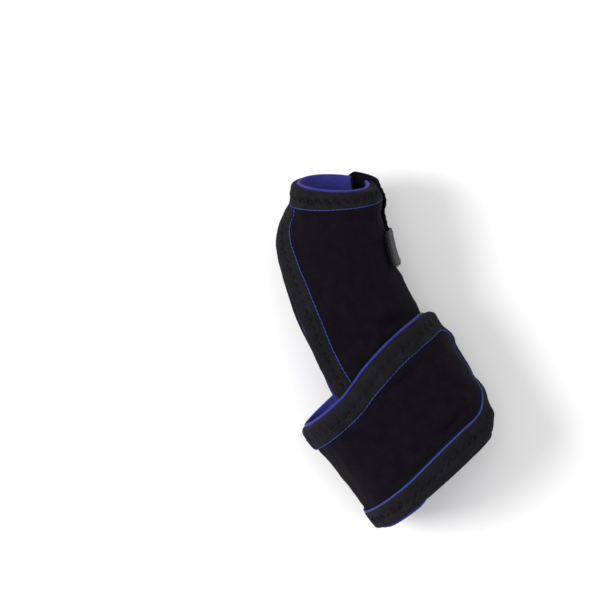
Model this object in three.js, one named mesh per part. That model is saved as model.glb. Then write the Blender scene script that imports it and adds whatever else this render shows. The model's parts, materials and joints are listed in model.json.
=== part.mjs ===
// A thumb-and-wrist splint for a right hand, in millimetres, in the shape it has when worn.
// It lies on its back: +Z is the palm side, +Y points to the fingers, +X to the thumb,
// and z = 0 is the surface under the stay pocket.

import * as THREE from "three";

// ---- Fabric layers, counted outwards from the skin ----
const GAP = 0.3; // clearance between neighbouring pieces
const LINING = 0.5; // blue jersey lining
const LINING_GAP = 0.5; // between the lining and the foam
const CORE = 2.4; // body foam with its nylon face
const STRAP_CORE = 2.1; // strap foam with its nylon face
const PROUD = 0.3; // how far a hem stands above its panel
const TAPE = 0.9; // hook tape
const CORE_FROM = LINING + LINING_GAP;
const BODY = CORE_FROM + CORE;
const STRAP = CORE_FROM + STRAP_CORE;

// ---- Hems and edges ----
const HEM = 9; // width of every turned edge
const PIPING = 0.9; // lining that shows past a hem
const WRIST_END = -28; // level of the body's lower edge
const COLLAR_START = 87; // level where the thumb collar's hem begins
const RIM = 96; // level of the collar's rim
const SEAM = -20; // angle of the seam between palm and back panels
const SEAM_OPENING = 0.8; // degrees that the panels stand apart there
const SLIT_ANGLE = -56; // where the back panel ends beside the thumb slit
const SLIT_LEVELS = [53, 64]; // levels over which the slit widens
const COLLAR_TURN = 302; // angle where the collar's hem ends, past the web of the thumb

// ---- Wrist strap ----
const STRAP_WIDTH = 52;
const STRAP_END = -10; // girth distance of the free end, past the thumb side
const END_CORNER_UPPER = 20; // corner radii of the free end
const END_CORNER_LOWER = 31;
const STRAP_SEAM = 231; // angle where the strap is sewn to the back panel
const STRAP_HINGE = 176; // angle where the strap starts to lift
const STRAP_HINGE_GAP = 0.6; // degrees to each side of it
const STRAP_LIFT = BODY + PROUD + GAP; // strap over the body
const HOOK_LIFT = TAPE + GAP; // strap over its hook patch
const HOOK_LENGTH = 28;
const HOOK_WIDTH = 25;
const HOOK_SET_IN = 5; // from the free end to the hook patch
const HINGE_GAP = 0.6; // half of the opening left at a folding line

// ---- Thumb flap and its tab ----
const FLAP = 1.0; // thickness
const FLAP_FROM = 53; // level of its lower edge
const FLAP_TO = 98;
const FLAP_SEWN = -80; // angle of its sewn edge
const TAB = 1.1;
const TAB_FROM = 51.5;
const TAB_TO = 66;
const TAB_REACH = 24; // angle that the tab's end reaches
const TAB_SET_IN = 3; // degrees from the folding line to the tab's sewn end
const TAB_HOOK_INSET = { side: 1, flap: 2, end: 1 }; // its hook tape: levels, and degrees

// ---- Stay and its pocket, on the back ----
const STAY = { length: 62, width: 14, thick: 1.4, tip: 7, start: 1.5 };
const TIP_FLAT = 0.5; // straight length left beside a tip's rounded corners
const POCKET = { width: 26, length: 68, sheet: 1.0, corner: 6, clear: 0.5 };
const POCKET_START = [-2.2, -17.5]; // middle of the pocket's mouth
const POCKET_CANT = THREE.MathUtils.degToRad(9); // turned towards the thumb
const POCKET_DEPTH = POCKET.sheet + GAP + STAY.thick + 3 * GAP;
const BACK_FLOOR = POCKET_DEPTH + BODY; // lowest the skin lies

// ---- The limb that the splint is shaped on ----
// level: centre x, y, z; half width; palm and back depth; turn and lean (degrees); squareness
const STATIONS = [
  [-34, -5.2, -34, 26, 26.2, 18.6, 20.6, 0, 0, 3],
  [-28, -4.5, -28, 26, 26.5, 18.8, 20.6, 0, 0, 3],
  [-14, -1.9, -14, 26, 27.8, 19.0, 20.6, 0, 0, 3],
  [4, 0.3, 4, 26, 28.7, 19.4, 20.6, 0, 0, 3],
  [17, 1.8, 17, 26.2, 29.8, 20.2, 20.8, 0, 0, 3],
  [28, 3.6, 28.5, 26.8, 30.2, 21.2, 21.2, 1, 0, 3],
  [40, 8.0, 41, 28, 28.8, 22.2, 21.6, 3, 0, 2.8],
  [54, 14.2, 55.5, 30, 26.0, 22.2, 22.0, 6, 1, 2.5],
  [66, 23.3, 69.2, 32, 23.2, 20.2, 19.8, 12, 4, 2.3],
  [76, 31.5, 78.8, 34, 19.9, 16.8, 16.6, 22, 9, 2.2],
  [COLLAR_START, 40.9, 83.6, 36, 15.3, 13.2, 13.2, 37, 15, 2.1],
  [RIM, 45.6, 89.8, 38, 13.3, 11.8, 11.8, 44, 18, 2],
  [104, 50.8, 95.3, 40, 13.2, 11.6, 11.6, 46, 19, 2],
];
const PALM_POWER = 2.15;

// angle, in degrees, of the palm-side free edge at each level
const PALM_EDGE = [
  [-34, 122], [0, 125], [25, 124], [40, 126], [54, 128], [66, 140], [76, 159], [84, 180], [90, 187],
];
// and of the edge on the back of the hand
const BACK_EDGE = [
  [-34, -127], [0, -128], [25, -127], [40, -126], [54, -130], [66, -141], [76, -157], [84, -171],
  [90, -173],
];
// how far the strap's middle wanders up or down the wrist, and its edges spread, by angle
const STRAP_DRIFT = [[-60, 1.6], [20, 1.6], [50, 1.6], [87, 0.2], [120, -1.6], [180, -1], [260, 0]];
const STRAP_SPREAD = [[-60, 1.2], [20, 1.2], [50, 1.6], [87, 1], [120, -0.3], [180, -1.2], [260, -1]];
// edge of the thumb flap, by level
const FLAP_EDGE = [[44, 8], [60, 7], [76, 4], [88, 0], [104, -4]];
// angle of the flap's straight folding line, by level
const FLAP_FOLD = [
  [53, -36], [58, -33], [63, -30], [68, -28], [73, -26.5], [78, -28], [83, -31], [88, -34], [93, -33],
  [98, -32],
];

const SHADES = {
  fabric: [0x151417, 0.85, 0],
  hem: [0x232427, 0.9, 0],
  lining: [0x2b3d96, 0.9, 0],
  webbing: [0x2a2b2f, 0.8, 0],
  hook: [0x101012, 0.95, 0],
  aluminium: [0xb9bcc2, 0.35, 1],
  tip: [0x1c2c86, 0.5, 0],
};

const group = new THREE.Group();
const rad = THREE.MathUtils.degToRad;

function interpolant(rows) {
  const levels = rows.map((row) => row[0]);
  const values = rows.flatMap((row) => row.slice(1));
  return new THREE.CubicInterpolant(levels, values, rows[0].length - 1);
}

function curveThrough(rows) {
  const through = interpolant(rows);
  return (at) => through.evaluate(at)[0];
}

const limb = interpolant(STATIONS);
const palmEdge = curveThrough(PALM_EDGE);
const backEdge = curveThrough(BACK_EDGE);
const strapDrift = curveThrough(STRAP_DRIFT);
const strapSpread = curveThrough(STRAP_SPREAD);
const flapEdge = curveThrough(FLAP_EDGE);
const flapFold = curveThrough(FLAP_FOLD);

// Point of the skin at an angle round the limb (0 thumb side, 90 palm) and a level along it.
function skin(angle, level) {
  const [x, y, z, half, palm, back, turn, lean, square] = limb.evaluate(level);
  const c = Math.cos(rad(angle));
  const s = Math.sin(rad(angle));
  const power = s > 0 ? PALM_POWER : square;
  const depth = s > 0 ? palm : back;
  const reach = (Math.abs(c / half) ** power + Math.abs(s / depth) ** power) ** (-1 / power);
  const across = new THREE.Vector3(Math.cos(rad(turn)), -Math.sin(rad(turn)), 0);
  const along = new THREE.Vector3(Math.sin(rad(turn)), Math.cos(rad(turn)), 0);
  const up = along.multiplyScalar(-Math.sin(rad(lean)));
  up.z = Math.cos(rad(lean));
  const point = new THREE.Vector3(x, y, z);
  point.addScaledVector(across, reach * c).addScaledVector(up, reach * s);
  point.z = Math.max(point.z, BACK_FLOOR);
  return point;
}

function outward(angle, level) {
  const round = skin(angle + 0.5, level).sub(skin(angle - 0.5, level));
  const onward = skin(angle, level + 0.3).sub(skin(angle, level - 0.3));
  return onward.cross(round).normalize();
}

function layer(angle, level, depth) {
  return skin(angle, level).addScaledVector(outward(angle, level), depth);
}

// ---- Closed slabs of fabric ----

function quads(index, rows, columns, at, flip) {
  for (let i = 0; i < rows; i += 1) {
    for (let j = 0; j < columns; j += 1) {
      const corners = [at(i, j), at(i + 1, j), at(i + 1, j + 1), at(i, j + 1)];
      if (flip) corners.reverse();
      const [a, b, c, d] = corners;
      index.push(a, b, c, a, c, d);
    }
  }
}

function signedVolume(points, index) {
  let volume = 0;
  for (let i = 0; i < index.length; i += 3) {
    const [a, b, c] = [points[index[i]], points[index[i + 1]], points[index[i + 2]]];
    volume += a.dot(b.clone().cross(c)) / 6;
  }
  return volume;
}

// A slab over a grid: place(u, v) gives its angle and level for u and v from 0 to 1,
// and from and to give the depths of its two faces there.
function slab(across, along, place, from, to) {
  const points = [];
  for (const depth of [from, to]) {
    for (let i = 0; i <= across; i += 1) {
      for (let j = 0; j <= along; j += 1) {
        const [angle, level] = place(i / across, j / along);
        points.push(layer(angle, level, typeof depth === "number" ? depth : depth(angle, level)));
      }
    }
  }
  const row = along + 1;
  const sheet = (across + 1) * row;
  const index = [];
  quads(index, across, along, (i, j) => i * row + j, false);
  quads(index, across, along, (i, j) => sheet + i * row + j, true);
  for (const j of [0, along]) {
    quads(index, across, 1, (i, k) => i * row + j + k * sheet, j === 0);
  }
  for (const i of [0, across]) {
    quads(index, 1, along, (k, j) => i * row + j + k * sheet, i === 0);
  }
  if (signedVolume(points, index) < 0) index.reverse();
  const geometry = new THREE.BufferGeometry().setFromPoints(points);
  geometry.setIndex(index);
  return geometry.toNonIndexed();
}

function add(name, shade, geometry) {
  const [color, roughness, metalness] = SHADES[shade];
  geometry.computeVertexNormals();
  const mesh = new THREE.Mesh(
    geometry,
    new THREE.MeshStandardMaterial({ color, roughness, metalness }),
  );
  mesh.name = name;
  group.add(mesh);
  return mesh;
}

const lerp = THREE.MathUtils.lerp;

// degrees round the limb that a distance takes up at a place
function degreesFor(distance, angle, level) {
  return distance / layer(angle + 0.5, level, BODY).distanceTo(layer(angle - 0.5, level, BODY));
}

// ---- Body: two panels, their linings and their hems ----

// the back panel stops short of the palm panel beside the thumb, where the flap covers the slit
function backStart(level) {
  const slit = THREE.MathUtils.smoothstep(level, ...SLIT_LEVELS);
  return lerp(SEAM, SLIT_ANGLE, slit) - SEAM_OPENING;
}

// Inner border of a free edge's hem: side is 1 on the palm and -1 on the back of the hand.
const EDGE_TRIM = 0.4; // degrees that the hem stops short of the free edge
const LINING_TRIM = 0.3; // and the lining
const freeEdge = (side, level) => (side > 0 ? palmEdge(level) : backEdge(level));

function hemInner(side, level) {
  const edge = freeEdge(side, level);
  return edge - side * (EDGE_TRIM + degreesFor(HEM, edge, level));
}

function panelEdge(side, level) {
  const inner = hemInner(side, level);
  return inner - side * degreesFor(1.5 * GAP, inner, level);
}

const panelStart = (side, level) => (side > 0 ? SEAM : backStart(level));

function buildSide(side, name) {
  const low = WRIST_END + HEM + GAP;
  const high = COLLAR_START - GAP;
  const panel = (u, v) => {
    const level = lerp(low, high, v);
    return [lerp(panelStart(side, level), panelEdge(side, level), u), level];
  };
  const lining = (u, v) => {
    const level = lerp(WRIST_END, high, v);
    return [lerp(panelStart(side, level), freeEdge(side, level) - side * LINING_TRIM, u), level];
  };
  const hem = (u, v) => {
    const level = lerp(low, high, v);
    return [lerp(hemInner(side, level), freeEdge(side, level) - side * EDGE_TRIM, u), level];
  };
  add(name + "_panel", "fabric", slab(16, 24, panel, CORE_FROM, BODY));
  add(name + "_lining", "lining", slab(16, 26, lining, 0, LINING));
  add(name + "_edge_hem", "hem", slab(2, 24, hem, CORE_FROM, BODY + PROUD));
}

function buildWristHem() {
  const hem = (u, v) => {
    const level = lerp(WRIST_END, WRIST_END + HEM, v);
    return [lerp(backEdge(level), palmEdge(level), u), level];
  };
  add("wrist_edge_hem", "hem", slab(32, 2, hem, CORE_FROM, BODY + PROUD));
}

function buildCollar() {
  const ring = (to) => (u, v) => [lerp(SEAM, COLLAR_TURN, u), lerp(COLLAR_START, to, v)];
  add("collar_hem", "hem", slab(28, 3, ring(RIM), CORE_FROM, BODY + PROUD));
  add("collar_lining", "lining", slab(28, 3, ring(RIM + PIPING), 0, LINING));
}

// ---- Wrist strap: sewn root, middle part over the palm, free end ----

// Girth distance round the wrist from the thumb side, and the angle that it reaches.
const GIRTH_STEP = 1;
const GIRTH_ANGLES = [-60, 260];
const GIRTH_DEPTH = 5;

function girthTable() {
  const [first, last] = GIRTH_ANGLES;
  const table = [[first, 0]];
  for (let angle = first; angle < last; angle += GIRTH_STEP) {
    const here = layer(angle, 0, GIRTH_DEPTH);
    const next = layer(angle + GIRTH_STEP, 0, GIRTH_DEPTH);
    table.push([angle + GIRTH_STEP, table.at(-1)[1] + here.distanceTo(next)]);
  }
  const zero = table[Math.round((0 - first) / GIRTH_STEP)][1];
  return table.map(([angle, distance]) => [angle, distance - zero]);
}

const girth = girthTable();
const girthAt = curveThrough(girth);
const angleAt = curveThrough(girth.map(([angle, distance]) => [distance, angle]));

// The folding line over the palm is straight: x along it at a level.
const PALM_FOLD = { x: 4, slope: 0.115 };
const palmFoldX = (level) => PALM_FOLD.x + PALM_FOLD.slope * level;

function palmFoldAngle(level) {
  let low = 40;
  let high = 130;
  for (let step = 0; step < 30; step += 1) {
    const middle = (low + high) / 2;
    if (skin(middle, level).x > palmFoldX(level)) low = middle;
    else high = middle;
  }
  return low;
}

// The strap comes down to the skin past the body's palm edge, and nearer it past its hook patch.
const BODY_RAMP = [136, 170]; // angles
const HOOK_RAMP = [66, 84];

function strapLift(angle) {
  const overBody = 1 - THREE.MathUtils.smoothstep(angle, ...BODY_RAMP);
  const overHook = 1 - THREE.MathUtils.smoothstep(angle, ...HOOK_RAMP);
  return STRAP_LIFT * overBody + HOOK_LIFT * overHook;
}

const strapDepth = (depth) => (angle) => strapLift(angle) + depth;
const HALF_STRAP = STRAP_WIDTH / 2;
const strapLevel = (angle, side) => side + strapDrift(angle) + (strapSpread(angle) * side) / HALF_STRAP;

// place() for a length of strap between two angles, and between two distances off its middle
function strapPart(fromAngle, toAngle, fromSide, toSide) {
  return (u, v) => {
    const side = lerp(fromSide, toSide, v);
    const guess = strapLevel(lerp(fromAngle(side), toAngle(side), u), side);
    const angle = lerp(fromAngle(guess), toAngle(guess), u);
    return [angle, strapLevel(angle, side)];
  };
}

function buildStrapLength(name, steps, fromAngle, toAngle) {
  const inner = HALF_STRAP - HEM - GAP;
  const part = (fromSide, toSide) => strapPart(fromAngle, toAngle, fromSide, toSide);
  const core = [strapDepth(CORE_FROM), strapDepth(STRAP)];
  const hem = [strapDepth(CORE_FROM), strapDepth(STRAP + PROUD)];
  const lining = part(-HALF_STRAP - PIPING / 2, HALF_STRAP + PIPING);
  add(name + "_panel", "fabric", slab(steps, 6, part(-inner, inner), ...core));
  add(name + "_lining", "lining", slab(steps, 8, lining, strapDepth(0), strapDepth(LINING)));
  add(name + "_upper_hem", "hem", slab(steps, 2, part(inner + GAP, HALF_STRAP), ...hem));
  add(name + "_lower_hem", "hem", slab(steps, 2, part(-HALF_STRAP, -inner - GAP), ...hem));
}

// The free end lies in its own plane: run is the distance from its end, side the distance off
// the middle. Its start is drawn out to meet the straight folding line.
const END_RUN = girthAt(palmFoldAngle(0)) - STRAP_END;

const END_ANGLE = 30; // near the middle of the free end

function endPlace(run, side) {
  const level = strapLevel(END_ANGLE, side);
  const fold = girthAt(palmFoldAngle(level)) - STRAP_END - HINGE_GAP;
  const angle = angleAt(STRAP_END + (run * fold) / END_RUN);
  return [angle, strapLevel(angle, side)];
}

// half width of the free end's outline at a distance from its end, for a margin inside the edge
function endHalfWidth(run, corner, margin) {
  const radius = corner - margin;
  const into = Math.max(0, radius - (run - margin));
  return HALF_STRAP - margin - radius + Math.sqrt(Math.max(0, radius ** 2 - into ** 2));
}

const END_CROWDING = 1.6; // grid lines stand closer together towards the rounded end

function endPart(margin) {
  return (u, v) => {
    const run = lerp(margin, END_RUN, u ** END_CROWDING);
    const upper = endHalfWidth(run, END_CORNER_UPPER, margin);
    const lower = endHalfWidth(run, END_CORNER_LOWER, margin);
    return endPlace(run, lerp(-lower, upper, v));
  };
}

// The hem of the free end runs along its upper edge, round both corners and back.
function endOutline() {
  const path = new THREE.Path();
  path.moveTo(END_RUN, HALF_STRAP);
  path.lineTo(END_CORNER_UPPER, HALF_STRAP);
  path.absarc(
    END_CORNER_UPPER, HALF_STRAP - END_CORNER_UPPER, END_CORNER_UPPER, Math.PI / 2, Math.PI,
  );
  path.lineTo(0, END_CORNER_LOWER - HALF_STRAP);
  path.absarc(
    END_CORNER_LOWER, END_CORNER_LOWER - HALF_STRAP, END_CORNER_LOWER, Math.PI, 1.5 * Math.PI,
  );
  path.lineTo(END_RUN, -HALF_STRAP);
  return path;
}

function endHemPlace() {
  const outline = endOutline();
  return (u, v) => {
    const at = outline.getPointAt(u);
    const tangent = outline.getTangentAt(u);
    const inwards = new THREE.Vector2(-tangent.y, tangent.x).multiplyScalar(HEM * v);
    return endPlace(Math.min(at.x + inwards.x, END_RUN), at.y + inwards.y);
  };
}

function buildStrapEnd() {
  const core = [strapDepth(CORE_FROM), strapDepth(STRAP)];
  const hem = [strapDepth(CORE_FROM), strapDepth(STRAP + PROUD)];
  add("strap_end_panel", "fabric", slab(12, 6, endPart(HEM + GAP), ...core));
  add("strap_end_lining", "lining", slab(14, 8, endPart(0), strapDepth(0), strapDepth(LINING)));
  add("strap_end_hem", "hem", slab(48, 2, endHemPlace(), ...hem));
  const patch = (u, v) =>
    endPlace(HOOK_SET_IN + HOOK_LENGTH * u, HOOK_WIDTH * (v - 0.5));
  add("strap_hook_patch", "hook", slab(8, 6, patch, STRAP_LIFT, STRAP_LIFT + TAPE));
}

function buildStrap() {
  buildStrapLength("strap_root", 12, () => STRAP_SEAM, () => STRAP_HINGE + STRAP_HINGE_GAP);
  const foldStart = (level) => palmFoldAngle(level) + degreesFor(HINGE_GAP, 90, level);
  buildStrapLength("strap_middle", 20, () => STRAP_HINGE - STRAP_HINGE_GAP, foldStart);
  buildStrapEnd();
}

// ---- Thumb flap, closed by a hook tab ----

// The flap rises over the collar's hem.
const COLLAR_RAMP = [COLLAR_START - 6, COLLAR_START - 1];
const overCollar = (depth) => (angle, level) =>
  depth + PROUD * THREE.MathUtils.smoothstep(level, ...COLLAR_RAMP);

// angle of the folding line, to its palm side (1) or its back side (-1)
function foldSide(side, level) {
  const fold = flapFold(level);
  return fold + side * degreesFor(HINGE_GAP, fold, level);
}

function buildFlap() {
  const level = (v) => lerp(FLAP_FROM, FLAP_TO, v);
  const from = overCollar(BODY + GAP);
  const to = overCollar(BODY + GAP + FLAP);
  const base = (u, v) => [lerp(FLAP_SEWN, foldSide(-1, level(v)), u), level(v)];
  const flap = (u, v) => [lerp(foldSide(1, level(v)), flapEdge(level(v)), u), level(v)];
  add("thumb_flap_base", "fabric", slab(6, 14, base, from, to));
  add("thumb_flap", "fabric", slab(6, 14, flap, from, to));

  const tabFrom = BODY + FLAP + 2 * GAP;
  const tab = (u, v) => {
    const at = lerp(TAB_FROM, TAB_TO, v);
    return [lerp(foldSide(1, at) + TAB_SET_IN, TAB_REACH, u), at];
  };
  add("thumb_tab", "webbing", slab(8, 4, tab, tabFrom, tabFrom + TAB));
  const hook = (u, v) => {
    const at = lerp(TAB_FROM + TAB_HOOK_INSET.side, TAB_TO - TAB_HOOK_INSET.side, v);
    return [lerp(flapEdge(at) + TAB_HOOK_INSET.flap, TAB_REACH - TAB_HOOK_INSET.end, u), at];
  };
  add("thumb_tab_hook", "hook", slab(3, 4, hook, BODY + GAP, BODY + GAP + TAPE));
}

// ---- Stay and pocket ----

// a flat bar along +Y from its start, with corners of one radius at its start and one at its end
function roundedBar(length, width, startRadius, endRadius) {
  const half = width / 2;
  const shape = new THREE.Shape();
  shape.moveTo(-half, startRadius);
  shape.lineTo(-half, length - endRadius);
  if (endRadius) {
    shape.absarc(endRadius - half, length - endRadius, endRadius, Math.PI, Math.PI / 2, true);
    shape.absarc(half - endRadius, length - endRadius, endRadius, Math.PI / 2, 0, true);
  }
  shape.lineTo(half, startRadius);
  if (startRadius) {
    shape.absarc(half - startRadius, startRadius, startRadius, 0, -Math.PI / 2, true);
    shape.absarc(startRadius - half, startRadius, startRadius, -Math.PI / 2, -Math.PI, true);
  }
  shape.closePath();
  return shape;
}

// the pocket's sewn border: a U round the channel that the stay slides in
function borderShape(channel, channelEnd) {
  const half = POCKET.width / 2;
  const corner = POCKET.corner;
  const shape = new THREE.Shape();
  shape.moveTo(-half, 0);
  shape.lineTo(-channel, 0);
  shape.lineTo(-channel, channelEnd);
  shape.lineTo(channel, channelEnd);
  shape.lineTo(channel, 0);
  shape.lineTo(half, 0);
  shape.absarc(half - corner, POCKET.length - corner, corner, 0, Math.PI / 2, false);
  shape.absarc(corner - half, POCKET.length - corner, corner, Math.PI / 2, Math.PI, false);
  shape.closePath();
  return shape;
}

function plate(shape, thick) {
  return new THREE.ExtrudeGeometry(shape, { depth: thick, bevelEnabled: false, curveSegments: 6 });
}

// adds a plate on the back, that far along the pocket from its mouth and that high
function addPlate(name, shade, shape, thick, forward, height) {
  const mesh = add(name, shade, plate(shape, thick));
  mesh.rotation.z = -POCKET_CANT;
  mesh.position.set(
    POCKET_START[0] + forward * Math.sin(POCKET_CANT),
    POCKET_START[1] + forward * Math.cos(POCKET_CANT),
    height,
  );
}

function buildStay() {
  const { length, width, thick, tip, start } = STAY;
  const height = POCKET.sheet + GAP;
  const bar = roundedBar(length - 2 * (tip + GAP), width, 0, 0);
  const nearTip = roundedBar(tip, width, tip - TIP_FLAT, 0);
  const farTip = roundedBar(tip, width, 0, tip - TIP_FLAT);
  addPlate("stay_bar", "aluminium", bar, thick, start + tip + GAP, height);
  addPlate("stay_tip_wrist", "tip", nearTip, thick, start, height);
  addPlate("stay_tip_hand", "tip", farTip, thick, start + length - tip, height);
}

function buildPocket() {
  const cover = roundedBar(POCKET.length, POCKET.width, 0, POCKET.corner);
  const channel = STAY.width / 2 + POCKET.clear;
  const border = borderShape(channel, STAY.start + STAY.length + POCKET.clear);
  const depth = POCKET_DEPTH - POCKET.sheet - 2 * GAP;
  addPlate("pocket_cover", "fabric", cover, POCKET.sheet, 0, 0);
  addPlate("pocket_border", "hem", border, depth, 0, POCKET.sheet + GAP);
}

buildSide(1, "palm");
buildSide(-1, "back");
buildWristHem();
buildCollar();
buildStrap();
buildFlap();
buildPocket();
buildStay();

export default group;
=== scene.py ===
"""A right-hand thumb-and-wrist splint in black foam fabric with blue stitching, built round its frame."""

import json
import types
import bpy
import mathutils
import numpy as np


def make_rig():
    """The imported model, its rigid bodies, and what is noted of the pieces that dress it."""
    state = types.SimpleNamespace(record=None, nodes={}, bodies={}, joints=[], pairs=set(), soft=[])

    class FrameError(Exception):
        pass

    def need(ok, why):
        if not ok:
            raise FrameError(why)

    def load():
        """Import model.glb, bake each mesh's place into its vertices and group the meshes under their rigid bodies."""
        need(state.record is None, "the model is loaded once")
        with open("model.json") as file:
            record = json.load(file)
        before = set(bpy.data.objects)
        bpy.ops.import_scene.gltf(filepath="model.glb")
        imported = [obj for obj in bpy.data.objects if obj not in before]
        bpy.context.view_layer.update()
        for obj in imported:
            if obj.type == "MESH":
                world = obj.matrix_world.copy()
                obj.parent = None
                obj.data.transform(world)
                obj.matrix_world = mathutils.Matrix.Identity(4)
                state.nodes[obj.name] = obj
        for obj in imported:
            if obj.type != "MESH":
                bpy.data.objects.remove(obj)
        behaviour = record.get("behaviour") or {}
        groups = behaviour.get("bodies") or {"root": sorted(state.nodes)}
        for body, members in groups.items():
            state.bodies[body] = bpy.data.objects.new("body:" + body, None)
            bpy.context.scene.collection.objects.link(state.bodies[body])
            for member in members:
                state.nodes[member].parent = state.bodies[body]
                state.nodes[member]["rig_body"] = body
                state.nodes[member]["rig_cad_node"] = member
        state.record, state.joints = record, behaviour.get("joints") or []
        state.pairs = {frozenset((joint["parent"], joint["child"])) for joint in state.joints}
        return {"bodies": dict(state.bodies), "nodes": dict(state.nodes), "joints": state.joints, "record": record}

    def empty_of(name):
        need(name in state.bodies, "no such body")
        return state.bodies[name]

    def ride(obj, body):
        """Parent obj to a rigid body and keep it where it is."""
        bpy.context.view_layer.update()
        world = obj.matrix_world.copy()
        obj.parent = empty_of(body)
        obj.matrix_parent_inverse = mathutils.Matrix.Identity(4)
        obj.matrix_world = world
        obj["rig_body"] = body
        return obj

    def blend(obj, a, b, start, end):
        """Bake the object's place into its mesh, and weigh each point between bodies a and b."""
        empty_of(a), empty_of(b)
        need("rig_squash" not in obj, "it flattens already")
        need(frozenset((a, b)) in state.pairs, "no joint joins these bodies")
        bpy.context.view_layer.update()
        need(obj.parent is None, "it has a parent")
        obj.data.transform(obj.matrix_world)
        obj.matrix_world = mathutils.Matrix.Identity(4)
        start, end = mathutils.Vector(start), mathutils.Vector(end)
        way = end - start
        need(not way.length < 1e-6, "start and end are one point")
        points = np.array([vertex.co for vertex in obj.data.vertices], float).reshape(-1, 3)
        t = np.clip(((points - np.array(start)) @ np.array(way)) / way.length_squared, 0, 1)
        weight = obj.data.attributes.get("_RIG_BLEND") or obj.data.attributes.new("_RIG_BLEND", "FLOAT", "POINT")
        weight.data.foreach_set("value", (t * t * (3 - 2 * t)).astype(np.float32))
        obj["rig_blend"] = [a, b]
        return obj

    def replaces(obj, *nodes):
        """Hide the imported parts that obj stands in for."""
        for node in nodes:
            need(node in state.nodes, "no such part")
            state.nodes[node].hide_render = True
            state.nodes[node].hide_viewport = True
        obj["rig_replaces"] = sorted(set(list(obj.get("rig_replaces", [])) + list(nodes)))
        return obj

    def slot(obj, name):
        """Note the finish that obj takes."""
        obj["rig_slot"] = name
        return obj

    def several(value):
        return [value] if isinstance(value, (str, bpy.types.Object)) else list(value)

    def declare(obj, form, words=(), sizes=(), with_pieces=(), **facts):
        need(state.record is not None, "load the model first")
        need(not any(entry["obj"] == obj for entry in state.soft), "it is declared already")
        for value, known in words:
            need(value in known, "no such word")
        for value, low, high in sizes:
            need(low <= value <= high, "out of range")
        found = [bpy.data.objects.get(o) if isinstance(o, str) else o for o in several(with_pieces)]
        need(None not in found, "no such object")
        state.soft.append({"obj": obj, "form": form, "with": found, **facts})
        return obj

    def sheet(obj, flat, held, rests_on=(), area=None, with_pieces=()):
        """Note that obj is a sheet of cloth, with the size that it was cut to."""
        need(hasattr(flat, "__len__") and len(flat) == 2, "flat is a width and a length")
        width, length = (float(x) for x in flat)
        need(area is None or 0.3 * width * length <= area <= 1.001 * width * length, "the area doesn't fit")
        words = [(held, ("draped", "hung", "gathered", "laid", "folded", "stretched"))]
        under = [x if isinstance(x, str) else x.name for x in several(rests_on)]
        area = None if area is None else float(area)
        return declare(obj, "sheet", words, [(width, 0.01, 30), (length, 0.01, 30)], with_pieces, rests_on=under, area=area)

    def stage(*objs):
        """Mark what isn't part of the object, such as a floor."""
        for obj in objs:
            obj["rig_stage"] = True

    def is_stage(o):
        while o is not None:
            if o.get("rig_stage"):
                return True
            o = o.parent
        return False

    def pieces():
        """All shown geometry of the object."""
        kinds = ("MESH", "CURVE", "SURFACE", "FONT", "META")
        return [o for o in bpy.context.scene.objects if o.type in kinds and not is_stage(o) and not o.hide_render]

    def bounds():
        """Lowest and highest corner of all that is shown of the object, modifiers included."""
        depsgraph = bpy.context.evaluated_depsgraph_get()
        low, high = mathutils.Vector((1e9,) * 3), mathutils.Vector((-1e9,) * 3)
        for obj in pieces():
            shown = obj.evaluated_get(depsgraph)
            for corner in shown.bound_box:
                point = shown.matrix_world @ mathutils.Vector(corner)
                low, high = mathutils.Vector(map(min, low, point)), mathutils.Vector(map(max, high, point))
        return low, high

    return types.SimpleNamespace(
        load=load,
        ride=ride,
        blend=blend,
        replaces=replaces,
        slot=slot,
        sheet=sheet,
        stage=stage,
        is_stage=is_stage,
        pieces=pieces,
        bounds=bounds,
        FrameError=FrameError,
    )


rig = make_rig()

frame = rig.load()
CAD_LOW, CAD_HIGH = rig.bounds()

import json
import math

import bpy
import numpy as np
from mathutils import Vector

MM = 0.001
FULL_TURN = 2 * math.pi
SEED = 7

# ---- Sizes, in millimetres and degrees, as on the frame ----

# Layers, by their height above the skin
LINING = 0.5
CORE_FROM = 1.0
BODY = 3.4
STRAP = 3.1
PROUD = 0.3
GAP = 0.3
TAPE = 0.9
HEM = 9.0
PIPING = 0.9

# The body, along the limb (levels) and round it (angles)
WRIST_END = -28.0
COLLAR_START = 87.0
RIM = 96.0
SEAM = -20.0
COLLAR_TURN = 302.0

# The wrist strap
HALF_STRAP = 26.0
STRAP_END = -10.0
CORNER_UPPER = 20.0
CORNER_LOWER = 31.0
STRAP_SEAM = 231.0
SEAM_CLOSING = 1.2
SEAM_LAP = 1.6
STRAP_LIFT = BODY + PROUD + GAP
LANDS_FROM, LANDS_TO = 136, 170
PALM_FOLD_X = 4
PALM_FOLD_LEAN = 0.115
PALM_FOLD_NEAR = 70.0
PALM_FOLD_FADE = 60
HOOK_LIFT = TAPE + GAP
HOOK_LENGTH = 28.0
HOOK_WIDTH = 25.0

# The thumb flap and its tab
FLAP = 1.0
FLAP_FROM = 53.0
FLAP_TO = 98.0
FLAP_SEWN = -80.0
TAB = 1.1
TAB_FROM = 51.5
TAB_TO = 66.0
TAB_REACH = 24.0

# The stay under the back
STAY_THICK = 1.4
POCKET_SHEET = 1.0
BACK_FLOOR = POCKET_SHEET + GAP + STAY_THICK + 3 * GAP + BODY

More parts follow.
